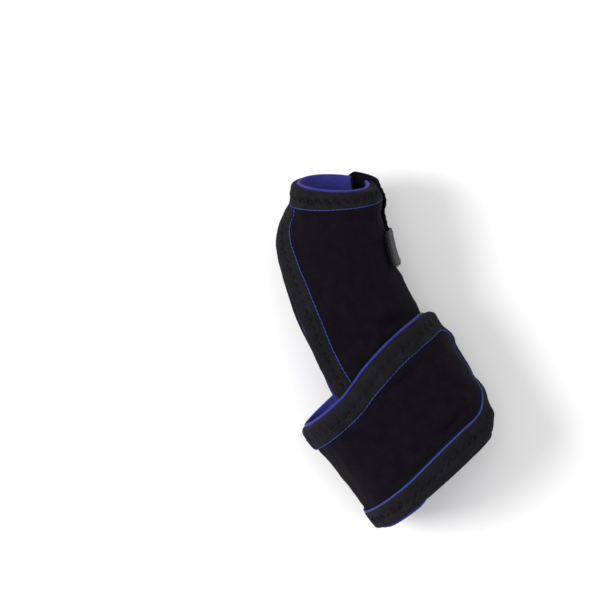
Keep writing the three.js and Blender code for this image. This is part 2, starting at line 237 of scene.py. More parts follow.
# level: centre x, y, z; half width; palm and back depth; turn and lean (degrees); squareness
STATIONS = [
    (-34, -5.2, -34, 26, 26.2, 18.6, 20.6, 0, 0, 3),
    (-28, -4.5, -28, 26, 26.5, 18.8, 20.6, 0, 0, 3),
    (-14, -1.9, -14, 26, 27.8, 19.0, 20.6, 0, 0, 3),
    (4, 0.3, 4, 26, 28.7, 19.4, 20.6, 0, 0, 3),
    (17, 1.8, 17, 26.2, 29.8, 20.2, 20.8, 0, 0, 3),
    (28, 3.6, 28.5, 26.8, 30.2, 21.2, 21.2, 1, 0, 3),
    (40, 8.0, 41, 28, 28.8, 22.2, 21.6, 3, 0, 2.8),
    (54, 14.2, 55.5, 30, 26.0, 22.2, 22.0, 6, 1, 2.5),
    (66, 23.3, 69.2, 32, 23.2, 20.2, 19.8, 12, 4, 2.3),
    (76, 31.5, 78.8, 34, 19.9, 16.8, 16.6, 22, 9, 2.2),
    (COLLAR_START, 40.9, 83.6, 36, 15.3, 13.2, 13.2, 37, 15, 2.1),
    (RIM, 45.6, 89.8, 38, 13.3, 11.8, 11.8, 44, 18, 2),
    (104, 50.8, 95.3, 40, 13.2, 11.6, 11.6, 46, 19, 2),
]
PALM_POWER = 2.15

# level: angle of an edge or a fold
PALM_EDGE = [
    (-34, 122), (0, 125), (25, 124), (40, 126), (54, 128), (66, 140), (76, 159), (84, 180), (90, 187),
]
BACK_EDGE = [
    (-34, -127), (0, -128), (25, -127), (40, -126), (54, -130), (66, -141), (76, -157), (84, -171),
    (90, -173),
]
FLAP_EDGE = [(44, 8), (60, 7), (76, 4), (88, 0), (104, -4)]
FLAP_FOLD = [
    (53, -36), (58, -33), (63, -30), (68, -28), (73, -26.5), (78, -28), (83, -31), (88, -34), (93, -33),
    (98, -32),
]

# angle: how far the strap's middle drifts along the limb, and its edges spread
STRAP_DRIFT = [(-60, 1.6), (20, 1.6), (50, 1.6), (87, 0.2), (120, -1.6), (180, -1), (260, 0)]
STRAP_SPREAD = [(-60, 1.2), (20, 1.2), (50, 1.6), (87, 1), (120, -0.3), (180, -1.2), (260, -1)]


# ---- The limb: the surface that every layer of fabric follows ----

TURN_PROBE = 0.5
LEVEL_PROBE = 0.3


def cubic(rows):
    """A smooth curve through rows of (place, values...), the same one as the frame's."""
    xs = np.array([r[0] for r in rows], float)
    ys = np.array([r[1:] for r in rows], float)
    last = len(xs) - 1

    def at(t):
        t = np.clip(np.asarray(t, float), xs[0], xs[-1])
        i1 = np.clip(np.searchsorted(xs, t, side="right"), 1, last)
        i0 = i1 - 1
        t0, t1 = xs[i0], xs[i1]
        prev = np.where(i0 > 0, i0 - 1, i1)
        onward = np.where(i1 < last, i1 + 1, i0)
        half = (t1 - t0) * 0.5
        w_prev = half / (t0 - np.where(i0 > 0, xs[prev], t1))
        w_next = half / (np.where(i1 < last, xs[onward], t0) - t1)
        p = (t - t0) / (t1 - t0)
        p2, p3 = p * p, p * p * p
        s_prev = -w_prev * p3 + 2 * w_prev * p2 - w_prev * p
        s_0 = (1 + w_prev) * p3 + (-1.5 - 2 * w_prev) * p2 + (-0.5 + w_prev) * p + 1
        s_1 = (-1 - w_next) * p3 + (1.5 + w_next) * p2 + 0.5 * p
        s_next = w_next * p3 - w_next * p2
        value = (
            s_prev[..., None] * ys[prev] + s_0[..., None] * ys[i0]
            + s_1[..., None] * ys[i1] + s_next[..., None] * ys[onward]
        )
        return value[..., 0] if ys.shape[1] == 1 else value

    return at


limb = cubic(STATIONS)
palm_edge = cubic(PALM_EDGE)
back_edge = cubic(BACK_EDGE)
strap_drift = cubic(STRAP_DRIFT)
strap_spread = cubic(STRAP_SPREAD)
flap_edge = cubic(FLAP_EDGE)
flap_fold = cubic(FLAP_FOLD)


def smooth(x, low, high):
    t = np.clip((np.asarray(x, float) - low) / (high - low), 0, 1)
    return t * t * (3 - 2 * t)


def mix(a, b, t):
    return a + (b - a) * t


def unit(vectors):
    return vectors / np.linalg.norm(vectors, axis=-1, keepdims=True)


def skin(angle, level):
    """Points of the skin at angles round the limb (0 thumb side, 90 palm) and levels along it."""
    angle, level = np.broadcast_arrays(np.asarray(angle, float), np.asarray(level, float))
    row = limb(level)
    half, palm, back, turn, lean, square = (row[..., k] for k in range(3, 9))
    c, s = np.cos(np.radians(angle)), np.sin(np.radians(angle))
    power = np.where(s > 0, PALM_POWER, square)
    depth = np.where(s > 0, palm, back)
    reach = (np.abs(c / half) ** power + np.abs(s / depth) ** power) ** (-1 / power)
    turn, lean = np.radians(turn), np.radians(lean)
    x, y = reach * c, reach * s
    point = np.stack([
        row[..., 0] + x * np.cos(turn) - y * np.sin(turn) * np.sin(lean),
        row[..., 1] - x * np.sin(turn) - y * np.cos(turn) * np.sin(lean),
        row[..., 2] + y * np.cos(lean),
    ], -1)
    point[..., 2] = np.maximum(point[..., 2], BACK_FLOOR)
    return point


def outward(angle, level):
    ring = skin(angle + TURN_PROBE, level) - skin(angle - TURN_PROBE, level)
    onward = skin(angle, level + LEVEL_PROBE) - skin(angle, level - LEVEL_PROBE)
    return unit(np.cross(onward, ring))


def layer(angle, level, depth):
    angle, level = np.asarray(angle, float), np.asarray(level, float)
    return skin(angle, level) + outward(angle, level) * np.asarray(depth, float)[..., None]


def degrees_for(distance, angle, level):
    """The turn that covers a distance round the body's outer face."""
    depth = np.full(np.shape(angle), BODY)
    one_degree = layer(angle + TURN_PROBE, level, depth) - layer(angle - TURN_PROBE, level, depth)
    return distance / np.linalg.norm(one_degree, axis=-1)


def between(first, last, low, high):
    """place(u, v) for a patch of the limb: u from one edge to the other, v from level to level.

    An edge is an angle, or a function from level to angle.
    """
    def place(u, v):
        level = mix(low, high, v)
        start, end = (edge(level) if callable(edge) else edge for edge in (first, last))
        return mix(start, end, u), level

    return place


def lengths_along(points):
    """Length of a line of points up to each of them."""
    return np.concatenate([[0], np.cumsum(np.linalg.norm(np.diff(points, axis=0), axis=1))])


# ---- The strap's own plane: run from its free end, side off its middle ----

GIRTH_ANGLES = np.arange(-60, 261, 1.0)
GIRTH_DEPTH = 5.0
FOLD_SEARCH_FROM, FOLD_SEARCH_TO = 40.0, 130.0
FOLD_SEARCH_STEPS = 24


def girth_lengths():
    """Length round the limb at level 0 from angle 0 to each of the angles."""
    depth = np.full_like(GIRTH_ANGLES, GIRTH_DEPTH)
    lengths = lengths_along(layer(GIRTH_ANGLES, np.zeros_like(GIRTH_ANGLES), depth))
    return lengths - np.interp(0, GIRTH_ANGLES, lengths)


GIRTH_LENGTHS = girth_lengths()


def girth_at(angle):
    return np.interp(angle, GIRTH_ANGLES, GIRTH_LENGTHS)


def angle_at(girth):
    return np.interp(girth, GIRTH_LENGTHS, GIRTH_ANGLES)


def palm_fold_angle(level):
    """Angle of the strap's straight folding line over the palm."""
    level = np.asarray(level, float)
    target = PALM_FOLD_X + PALM_FOLD_LEAN * level
    low, high = np.full(level.shape, FOLD_SEARCH_FROM), np.full(level.shape, FOLD_SEARCH_TO)
    for _ in range(FOLD_SEARCH_STEPS):
        middle = (low + high) / 2
        past = skin(middle, level)[..., 0] > target
        low, high = np.where(past, middle, low), np.where(past, high, middle)
    return low


END_RUN = float(girth_at(palm_fold_angle(0.0)) - STRAP_END)
SEAM_RUN = float(girth_at(STRAP_SEAM + SEAM_CLOSING) - STRAP_END)


def strap_level(angle, side):
    return side + strap_drift(angle) + strap_spread(angle) * side / HALF_STRAP


def strap_place(run, side):
    """Angle and level of a point of the strap."""
    run, side = np.broadcast_arrays(np.asarray(run, float), np.asarray(side, float))
    fold = girth_at(palm_fold_angle(strap_level(np.full(side.shape, PALM_FOLD_NEAR), side))) - STRAP_END
    share = np.where(run < END_RUN, run / END_RUN, np.clip(1 - (run - END_RUN) / PALM_FOLD_FADE, 0, 1))
    angle = angle_at(STRAP_END + run + (fold - END_RUN) * share)
    return angle, strap_level(angle, side)


def strap_lift(angle):
    return STRAP_LIFT * (1 - smooth(angle, LANDS_FROM, LANDS_TO))


def end_half_width(run, corner, margin):
    radius = corner - margin
    into = np.maximum(0, radius - (run - margin))
    return HALF_STRAP - margin - radius + np.sqrt(np.maximum(0, radius ** 2 - into ** 2))


# ---- Slow swells and small creases, the same every run ----

_rng = np.random.default_rng(SEED)
SWELLS = [
    (_rng.uniform(0.05, 0.16), _rng.uniform(0, FULL_TURN), _rng.uniform(0, FULL_TURN))
    for _ in range(9)
]
CRUMPLES = [
    (_rng.uniform(0.35, 1.0), _rng.uniform(0, FULL_TURN), _rng.normal(size=3))
    for _ in range(16)
]
SWELL_GAIN = 1.6
SWELL_CLIMB = 0.05

# Each crease: start and end seen from the palm, width, and height (below zero, a furrow)
BODY_CREASES = [
    ((18, 35.0), (40, 29.5), 2.6, -1.9),
    ((20, 40.5), (40, 35), 3.0, 1.2),
    ((0, 39), (18, 35), 2.8, -0.9),
    ((20, 47), (40, 41), 3.4, -0.9),
    ((12, 56), (30, 67), 4.0, 0.6),
    ((32, 56), (40, 72), 3.4, -0.6),
]
STRAP_CREASES = [
    ((-26, 12), (6, 17), 5.0, 0.3),
    ((-20, -4), (4, 4), 4.0, -0.3),
    ((-24, -12), (10, -16), 4.5, 0.3),
    ((0, 14.6), (30, 13.4), 1.3, -1.1),
    ((0, 11.6), (30, 10.4), 1.8, 0.6),
    ((6, -13.2), (30, -11.0), 1.3, -1.1),
    ((6, -9.8), (30, -7.8), 1.8, 0.6),
    ((-6, 2), (16, -6), 3.2, -0.55),
    ((4, 6), (22, 0), 3.0, 0.5),
]


def swell(points, size):
    """A soft unevenness of the fabric, in millimetres, from the place alone."""
    total = np.zeros(points.shape[:-1])
    for k, (pace, phase, way) in enumerate(SWELLS):
        along = points[..., 0] * math.cos(way) + points[..., 1] * math.sin(way)
        total += np.sin(along * pace + points[..., 2] * SWELL_CLIMB * (k % 3) + phase)
    return size * total / len(SWELLS) * SWELL_GAIN


def crumple(points, size):
    """Small wrinkles that come and go over the fabric."""
    total = np.zeros(points.shape[:-1])
    for pace, phase, way in CRUMPLES:
        total += np.sin(points @ (way / np.linalg.norm(way)) * pace + phase)
    total /= math.sqrt(len(CRUMPLES))
    return size * np.sign(total) * np.abs(total) ** 1.5


def creases(points, rows):
    """Low ridges and furrows along lines seen from the palm, each fading at its ends."""
    total = np.zeros(points.shape[:-1])
    for start, end, width, height in rows:
        a, b = np.array(start, float), np.array(end, float)
        line = b - a
        t = np.clip(((points[..., :2] - a) @ line) / (line @ line), 0, 1)
        away = np.linalg.norm(points[..., :2] - (a + t[..., None] * line), axis=-1)
        total += height * np.exp(-((away / width) ** 2)) * np.sin(np.pi * np.clip(t, 0.02, 0.98)) ** 0.6
    return total


# ---- Meshes ----

ROUND_STEPS = [0, 0.1, 0.26, 0.5, 0.85, 1.3]
STEP_DROP = PROUD + 0.15
STEP_ROUND = 0.55
THINNEST = 0.12
ALL_ROUND = "u0 u1 v0 v1"
LOOK_ASIDE = 0.4


def ticks(length, step, at_start=True, at_end=True):
    """Shares of a length, close together near its rounded ends. A step of None means 30 even ones."""
    if step is None:
        return np.linspace(0, 1, 30)
    near = [d for d in ROUND_STEPS if d < length / 3]
    start = near if at_start else [0]
    end = [length - d for d in reversed(near)] if at_end else [length]
    count = max(2, int(round((end[0] - start[-1]) / step)) + 1)
    return np.array(start[:-1] + list(np.linspace(start[-1], end[0], count)) + end[1:]) / length


def placed(name, data):
    """A new object in the scene."""
    made = bpy.data.objects.new(name, data)
    bpy.context.scene.collection.objects.link(made)
    return made


def make(name, verts, faces, uv=None, sharp=50):
    mesh = bpy.data.meshes.new(name)
    mesh.from_pydata((np.asarray(verts) * MM).tolist(), [], np.asarray(faces).tolist())
    if uv is not None:
        index = np.empty(len(mesh.loops), np.int32)
        mesh.loops.foreach_get("vertex_index", index)
        cloth_uv = mesh.uv_layers.new(name="Cloth")
        cloth_uv.data.foreach_set("uv", np.asarray(uv, np.float32)[index].ravel())
    mesh.polygons.foreach_set("use_smooth", np.ones(len(mesh.polygons), bool))
    mesh.set_sharp_from_angle(angle=math.radians(sharp))
    return placed(name, mesh)


def faces_out(verts, faces):
    """The faces, turned so that they point out of the closed mesh."""
    a, b, c = (verts[faces[:, k]] for k in range(3))
    d = verts[faces[:, 3]]
    volume = np.einsum("ij,ij->", a, np.cross(b, c)) + np.einsum("ij,ij->", a, np.cross(c, d))
    return faces[:, ::-1] if volume < 0 else faces


def stacked(name, outer, inner, uv):
    """A closed piece from two grids of points, joined round their border."""
    rows, columns = outer.shape[:2]
    count = rows * columns
    at = np.arange(count).reshape(rows, columns)
    top = np.stack([at[:-1, :-1], at[1:, :-1], at[1:, 1:], at[:-1, 1:]], -1).reshape(-1, 4)
    ring = np.concatenate([at[0, :-1], at[:-1, -1], at[-1, :0:-1], at[:0:-1, 0]])
    following = np.roll(ring, -1)
    side = np.stack([ring, following, following + count, ring + count], -1)
    faces = np.concatenate([top, top[:, ::-1] + count, side])
    verts = np.concatenate([outer.reshape(-1, 3), inner.reshape(-1, 3)])
    return make(name, verts, faces_out(verts, faces), np.concatenate([uv.reshape(-1, 2)] * 2))


def distances(points):
    """Distance of each grid point from the grid's four sides, along the cloth."""
    across = np.linalg.norm(np.diff(points, axis=0), axis=-1)
    along = np.linalg.norm(np.diff(points, axis=1), axis=-1)
    u0 = np.concatenate([np.zeros((1, points.shape[1])), np.cumsum(across, 0)])
    v0 = np.concatenate([np.zeros((points.shape[0], 1)), np.cumsum(along, 1)], 1)
    return {"u0": u0, "u1": u0[-1:] - u0, "v0": v0, "v1": v0[:, -1:] - v0}


def nearest(away, sides):
    """Distance from the nearest of the sides that are named."""
    return np.min([away[side] for side in sides.split()], axis=0)


def quarter(distance, radius):
    """Height share of a quarter-round edge at a distance from it."""
    t = 1 - np.clip(distance / radius, 0, 1)
    return np.sqrt(np.maximum(0, 1 - t * t))


def depths(value, *where):
    """A depth at each point, from a number or from a function of u, v, angle and level."""
    return value(*where) if callable(value) else np.full(np.shape(where[-1]), float(value))


def grid(us, vs):
    return np.meshgrid(ticks(*us), ticks(*vs), indexing="ij")


def cloth(name, finish, place, us, vs, low, high, bull="", step="", extra=None, shape=None):
    """A layer of cloth on the limb. place(u, v) gives angle and level; low and high are its depths.

    finish is what dress() needs; us and vs are what ticks() needs. bull names the sides with a round
    edge, step those that come down to the layer beside them. extra(points) is added to both faces,
    shape(away, angle) to the outer one.
    """
    u, v = grid(us, vs)
    angle, level = place(u, v)
    low, high = depths(low, u, v, angle, level), depths(high, u, v, angle, level)
    base, normal = skin(angle, level), outward(angle, level)
    middle = base + normal * ((low + high) / 2)[..., None]
    away = distances(middle)
    if shape is not None:
        high = high + shape(away, angle)
    if bull:
        half = (high - low) / 2
        share = np.maximum(quarter(nearest(away, bull), half), THINNEST)
        centre = (high + low) / 2
        low, high = centre - half * share, centre + half * share
    if step:
        high = high - STEP_DROP * (1 - quarter(nearest(away, step), STEP_ROUND))
    if extra is not None:
        shift = extra(middle)
        low, high = low + shift, high + shift
    outer = base + normal * high[..., None]
    inner = base + normal * low[..., None]
    piece = stacked(name, outer, inner, np.stack([away["u0"], away["v0"]], -1))
    piece["flat"] = [float(away["u0"][-1].max()), float(away["v0"][:, -1].max())]
    return dress(piece, *finish)


def outer_line(place, us, vs, depth, extra=None):
    """Points and outward normals along a line on the limb."""
    angle, level = place(us, vs)
    base, normal = skin(angle, level), outward(angle, level)
    points = base + normal * depths(depth, us, vs, angle, level)[..., None]
    if extra is not None:
        points = points + normal * extra(points)[..., None]
    return points, normal


def resample(points, normals, pitch):
    """Places every pitch along a line, with the directions along, across and out of the cloth."""
    length = lengths_along(points)
    count = max(2, int(length[-1] / pitch))
    at = (np.arange(count) + 0.5) * length[-1] / count

    def read(values, where):
        return np.stack([np.interp(where, length, values[:, k]) for k in range(3)], -1)

    along = unit(read(points, at + LOOK_ASIDE) - read(points, at - LOOK_ASIDE))
    out = read(normals, at)
    out = unit(out - along * np.sum(out * along, -1, keepdims=True))
    return read(points, at), along, np.cross(out, along), out


BEAD_SIDES = 6
BEAD_RINGS = [(-1, 0.35), (-0.72, 0.86), (0, 1), (0.72, 0.86), (1, 0.35)]
BEAD_BOW = 0.25
HOOK_HEIGHT = 0.5
HOOK_THICK = 0.34


def bead_faces():
    """The faces of one bead: quads between its rings, and two more to close each end."""
    ring, k = np.divmod(np.arange((len(BEAD_RINGS) - 1) * BEAD_SIDES), BEAD_SIDES)
    a, b = ring * BEAD_SIDES + k, ring * BEAD_SIDES + (k + 1) % BEAD_SIDES
    sides = np.stack([a, b, b + BEAD_SIDES, a + BEAD_SIDES], -1)
    first = np.array([(5, 4, 3, 2), (5, 2, 1, 0)])
    last = np.array([(0, 1, 2, 3), (0, 3, 4, 5)]) + (len(BEAD_RINGS) - 1) * BEAD_SIDES
    return np.concatenate([sides, first, last])


def beads(name, place, along, out, length, width, height):
    """One mesh of many short raised stitches, each a rounded bead lying along the cloth."""
    turn = np.arange(BEAD_SIDES) * FULL_TURN / BEAD_SIDES
    ring_at, ring_wide = (np.repeat(column, BEAD_SIDES) for column in zip(*BEAD_RINGS))
    c, s = np.tile(np.cos(turn), len(BEAD_RINGS)), np.tile(np.sin(turn), len(BEAD_RINGS))
    rise = s * ring_wide * height / 2 - BEAD_BOW * height * ring_at ** 2
    verts = (
        place[:, None]
        + along[:, None] * (ring_at * length / 2)[None, :, None]
        + np.cross(out, along)[:, None] * (c * ring_wide * width / 2)[None, :, None]
        + out[:, None] * rise[None, :, None]
    )
    every = bead_faces()[None] + (np.arange(len(place)) * verts.shape[1])[:, None, None]
    return make(name, verts.reshape(-1, 3), every.reshape(-1, 4), sharp=180)


def run_of_stitches(name, points, normals, width=0.55, pitch=1.8, length=2.0, slant=0.08, height=0.5):
    """A row of lock stitches that lie nearly end to end, each a little slanted."""
    place, along, across, out = resample(points, normals, pitch)
    return beads(name, place, unit(along + across * slant), out, length, width, height)


def zigzag(name, points, normals, reach=2.2, pitch=1.8, width=0.7):
    """A zigzag row: stitches that cross the line one way and then the other."""
    place, along, across, out = resample(points, normals, pitch)
    way = np.where(np.arange(len(place)) % 2 == 0, 1.0, -1.0)[:, None]
    lean = along * pitch + across * way * reach
    length = float(np.linalg.norm(lean[0])) * 0.94
    return beads(name, place, unit(lean), out, length, width, width * 0.9)


def hook_field(name, place, margins, counts, depth, extra=None):
    """A field of small hooks that stand on their tape."""
    sides = [np.linspace(margin, 1 - margin, count) for margin, count in zip(margins, counts)]
    u, v = np.meshgrid(*sides, indexing="ij")
    points, normal = outer_line(place, u.ravel(), v.ravel(), depth, extra)
    across = unit(np.cross(normal, np.array([0.0, 1.0, 0.0])))
    return beads(name, points, normal, np.cross(normal, across), HOOK_HEIGHT, HOOK_THICK, HOOK_THICK)


# ---- Materials ----

OTHER_SOCKETS = {
    "specular": "Specular IOR Level", "metallic": "Metallic", "sheen": "Sheen Weight",
    "sheen_rough": "Sheen Roughness", "sheen_tint": "Sheen Tint",
}


class Nodes:
    """Short ways to add shader nodes to one material."""

    def __init__(self, name):
        self.material = bpy.data.materials.new(name)
        self.material.use_nodes = True
        self.tree = self.material.node_tree
        self.shader = self.tree.nodes["Principled BSDF"]

    def add(self, kind, inputs=(), **settings):
        made = self.tree.nodes.new(kind)
        for key, value in settings.items():
            setattr(made, key, value)
        for key, value in dict(inputs).items():
            self.put(value, made.inputs[key])
        return made

    def put(self, value, socket):
        if hasattr(value, "links"):
            self.tree.links.new(value, socket)
        else:
            socket.default_value = value

    def surface(self, base, rough, normal=None, **others):
        """Sets or links the shader's own sockets, and gives the finished material."""
        sockets = {"Base Color": base, "Roughness": rough, "Normal": normal}
        sockets.update({OTHER_SOCKETS[key]: value for key, value in others.items()})
        for key, value in sockets.items():
            if value is not None:
                self.put(value, self.shader.inputs[key])
        return self.material

    def math(self, operation, a, b=0.0):
        return self.add("ShaderNodeMath", {0: a, 1: b}, operation=operation).outputs[0]

    def total(self, *parts):
        """The sum of pairs of a value and its share."""
        whole, *others = (self.math("MULTIPLY", value, share) for value, share in parts)
        for other in others:
            whole = self.math("ADD", whole, other)
        return whole

    def wave(self, value, pitch=1.0, operation="SINE"):
        return self.math(operation, self.math("MULTIPLY", value, FULL_TURN / pitch))

    def noise(self, scale, detail=3.0, rough=0.5, vector=None):
        vector = vector or self.add("ShaderNodeTexCoord").outputs["Object"]
        inputs = {"Scale": scale, "Detail": detail, "Roughness": rough, "Vector": vector}
        return self.add("ShaderNodeTexNoise", inputs).outputs["Fac"]

    def cloth_uv(self):
        uv = self.add("ShaderNodeUVMap", uv_map="Cloth").outputs[0]
        apart = self.add("ShaderNodeSeparateXYZ", {0: uv})
        return apart.outputs[0], apart.outputs[1]

    def ramp(self, value, low, high):
        return self.add("ShaderNodeMapRange", {"Value": value, "To Min": low, "To Max": high}).outputs[0]

    def mix(self, share, a, b):
        return self.add("ShaderNodeMix", {0: share, 6: a, 7: b}, data_type="RGBA").outputs[2]

    def bump(self, height, distance, strength=1.0, under=None):
        inputs = {"Height": height, "Distance": distance, "Strength": strength}
        if under is not None:
            inputs["Normal"] = under
        return self.add("ShaderNodeBump", inputs).outputs[0]


def colour(rgb):
    """A linear colour from one given on the usual 0-255 scale."""
    return tuple(((v / 255) / 12.92 if v <= 10 else ((v / 255 + 0.055) / 1.055) ** 2.4) for v in rgb) + (1.0,)


LILAC = colour((150, 150, 190))


def fabric(name, dark, light, pitch, relief, rough, sheen, specular, rib=0.0):
    """Knitted cloth: rows of V-shaped loops from the cloth's own plane, with uneven dye, soft fuzz and painted shade
    in the knit's grooves.
    """
    m = Nodes(name)
    u, v = m.cloth_uv()
    arm = m.math("ABSOLUTE", m.math("SUBTRACT", m.math("FRACT", m.math("MULTIPLY", u, 1 / pitch[0])), 0.5))
    loops = m.wave(m.total((v, 1 / pitch[1]), (arm, 1.1)))
    ditch = m.math("MULTIPLY", m.wave(arm, operation="COSINE"), 0.5 + rib)
    knit = m.ramp(m.math("ADD", loops, ditch), 0.0, 1.0)
    blotch = m.noise(55.0, 4.0, 0.6)
    fuzz = m.noise(2600.0, 2.0, 0.7)
    cloud = m.ramp(m.noise(210.0, 3.0, 0.65), -0.35, 1.35)
    # Colour: random uneven dye from blotch, cloud and fuzz, plus painted shade from the knit's height, darker in the
    # grooves between loops and wales.
    tone = m.total((blotch, 0.25), (knit, 0.2), (cloud, 0.5), (fuzz, 0.15))
    uneven = m.bump(m.noise(160.0, 3.0, 0.6), 0.0004, 0.35)
    fuzzy = m.bump(fuzz, 0.00006, 0.5, uneven)
    return m.surface(
        m.mix(tone, dark, light), m.ramp(blotch, rough - 0.08, min(1.0, rough + 0.08)),
        m.bump(knit, relief, 0.9, fuzzy), specular=specular, sheen=sheen, sheen_rough=0.45, sheen_tint=LILAC,
    )


def thread(name, dark, light, specular):
    """Twisted sewing thread."""
    m = Nodes(name)
    twist = m.noise(1800.0, 2.0, 0.6)
    return m.surface(
        m.mix(twist, dark, light), m.ramp(twist, 0.5, 0.75), m.bump(twist, 0.0001, 0.6), specular=specular,
    )


def webbing(name, dark, light):
    """A narrow woven tape: warp and weft floats, with painted light and shade, raised floats lighter and hollows
    darker.
    """
    m = Nodes(name)
    u, v = m.cloth_uv()
    weave = m.ramp(m.math("MULTIPLY", m.wave(u, 1.1), m.wave(v, 0.8)), 0.0, 1.0)
    # Colour: the weave's height paints the raised floats lighter and the hollows darker, mixed half and half with
    # random tone.
    tone = m.total((weave, 0.5), (m.noise(90.0), 0.5))
    return m.surface(
        m.mix(tone, dark, light), m.ramp(weave, 0.62, 0.78), m.bump(weave, 0.00018, 0.9),
        specular=0.25, sheen=0.08, sheen_rough=0.4,
    )


def metal(name, base, dull):
    """Aluminium strip, brushed along its length."""
    m = Nodes(name)
    u, v = m.cloth_uv()
    across, along = m.math("MULTIPLY", u, 22.0), m.math("MULTIPLY", v, 0.35)
    grain = m.noise(1.0, 4.0, 0.6, m.add("ShaderNodeCombineXYZ", {0: across, 1: along}).outputs[0])
    tone = m.mix(m.noise(70.0), base, dull)
    return m.surface(tone, m.ramp(grain, 0.26, 0.44), m.bump(grain, 0.00003, 0.6), metallic=1.0)


def dipped(name, dark, light):
    """Rubbery dip coat on the stay's ends."""
    m = Nodes(name)
    film = m.noise(240.0, 3.0, 0.5)
    return m.surface(m.mix(film, dark, light), m.ramp(film, 0.34, 0.5), m.bump(film, 0.0001, 0.5))


# material: the record's slot, the maker, two colours and the maker's other settings
FINISHES = {
    "black_neoprene": ("black_neoprene", fabric, (3, 2, 5), (22, 18, 27), {
        "pitch": (0.62, 0.5), "relief": 0.00009, "rough": 0.85, "sheen": 0.02, "specular": 0.05,
    }),
    "hem_knit": ("charcoal_hem", fabric, (5, 5, 7), (37, 35, 39), {
        "pitch": (1.25, 0.95), "relief": 0.0003, "rough": 0.9, "sheen": 0.03, "specular": 0.07, "rib": 0.4,
    }),
    "blue_jersey": ("blue_lining", fabric, (28, 32, 100), (58, 62, 144), {
        "pitch": (0.7, 0.55), "relief": 0.0001, "rough": 0.82, "sheen": 0.2, "specular": 0.2,
    }),
    "blue_thread": ("blue_lining", thread, (20, 31, 88), (54, 68, 142), {"specular": 0.25}),
    "dark_thread": ("charcoal_hem", thread, (6, 6, 7), (14, 14, 16), {"specular": 0.12}),
    "tab_webbing": ("tab_webbing", webbing, (8, 8, 11), (36, 37, 42), {}),
    "tab_thread": ("tab_webbing", thread, (70, 72, 78), (110, 112, 118), {"specular": 0.3}),
    "hook_tape": ("hook_tape", fabric, (9, 9, 11), (22, 22, 25), {
        "pitch": (1.6, 1.6), "relief": 0.0002, "rough": 0.8, "sheen": 0.0, "specular": 0.35, "rib": 0.3,
    }),
    "stay_metal": ("stay_metal", metal, (205, 207, 212), (168, 170, 176), {}),
    "stay_tip": ("stay_tip", dipped, (20, 30, 110), (34, 48, 150), {}),
}
MATERIALS = {
    name: maker(name, colour(first), colour(second), **settings)
    for name, (_, maker, first, second, settings) in FINISHES.items()
}


# ---- Where each group of pieces goes when the splint is opened ----

STRAP_FOLD = [(-32.35, 0, 20), (-32.35, 0, 37)]
TIP_FOLD = [(-2.2, 0.8, 54), (11.6, -0.7, 54)]
FLAP_MIDDLE = 75.0
FLAP_FOLD_REACH = 3
FLAP_FOLD_PROBE = 12


def flap_fold_line():
    """Points to each side of the flap's folding line, square to it."""
    low, high = (layer(flap_fold(v), v, BODY + GAP + FLAP) for v in (FLAP_FROM, FLAP_TO))
    fold = flap_fold(FLAP_MIDDLE)
    over, under = (layer(fold + turn, FLAP_MIDDLE, BODY) for turn in (FLAP_FOLD_PROBE, -FLAP_FOLD_PROBE))
    axis = unit(high - low)
    across = over - under
    across = unit(across - axis * (across @ axis))
    centre = low + (high - low) * ((FLAP_MIDDLE - FLAP_FROM) / (FLAP_TO - FLAP_FROM))
    return [centre - across * FLAP_FOLD_REACH, centre + across * FLAP_FOLD_REACH]


FOLDS = {
    "root": ("wrap", "strap", STRAP_FOLD),
    "tip": ("strap", "strap_tip", TIP_FOLD),
    "flap": ("wrap", "flap", flap_fold_line()),
}


def attach(piece, to):
    """Rides the piece on a body, or bends it across one of the folds."""
    if to in FOLDS:
        first, second, (start, end) = FOLDS[to]
        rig.blend(piece, first, second, [float(x) * MM for x in start], [float(x) * MM for x in end])
    else:
        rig.ride(piece, to)


def dress(piece, material, to, *nodes):
    """Gives a piece its material, the body or fold it goes with, and the CAD nodes it stands for."""
    piece.data.materials.append(MATERIALS[material])
    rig.slot(piece, FINISHES[material][0])
    if nodes:
        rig.replaces(piece, *nodes)
    attach(piece, to)
    return piece


def declare(piece, with_pieces=()):
    """Says how large the piece's cloth was cut, from its own surface measured along the cloth."""
    width, length = (float(x) * MM for x in piece["flat"])
    area = min(sum(p.area for p in piece.data.polygons) / 2, width * length)
    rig.sheet(piece, flat=(width, length), held="stretched", area=area, with_pieces=list(with_pieces))


# ---- The body of the splint ----

EDGE_TRIM = 0.4
LINING_TRIM = 0.3
TUCK = 0.8
LAP = 0.7
HEM_CROWN = 0.5
PUCKER = 0.6
PUCKER_PITCH = 3.6
PUCKER_REACH = 0.2
STITCH_RISE = 0.2
ZIGZAG_SINK = 0.1
ROLL_RISE = 0.85
SLIT_ANGLE = -56.0
SLIT_LEVELS = (56, 66)
SEAM_OPENING = 0.05
HEM_TOP = BODY + PROUD + HEM_CROWN - ZIGZAG_SINK

# Grid steps, and about how long the pieces are along them
PANEL_STEP = 1.25
LINING_STEP = 1.8
HEM_STEP = 0.8
HEM_FINE_STEP = 0.7
PANEL_WIDE, PANEL_LONG = 108, 106
LINING_WIDE, LINING_LONG = 112, 115
WRIST_ROUND = 132
COLLAR_ROUND = 100


def back_start(level):
    return mix(SEAM, SLIT_ANGLE, smooth(level, *SLIT_LEVELS)) - SEAM_OPENING


def free_edge(side, level):
    return palm_edge(level) if side > 0 else back_edge(level)


def hem_inner(side, level):
    edge = free_edge(side, level)
    return edge - side * (EDGE_TRIM + degrees_for(HEM, edge, level))


def side_start(side, level):
    return np.full(np.shape(level), SEAM) if side > 0 else back_start(level)


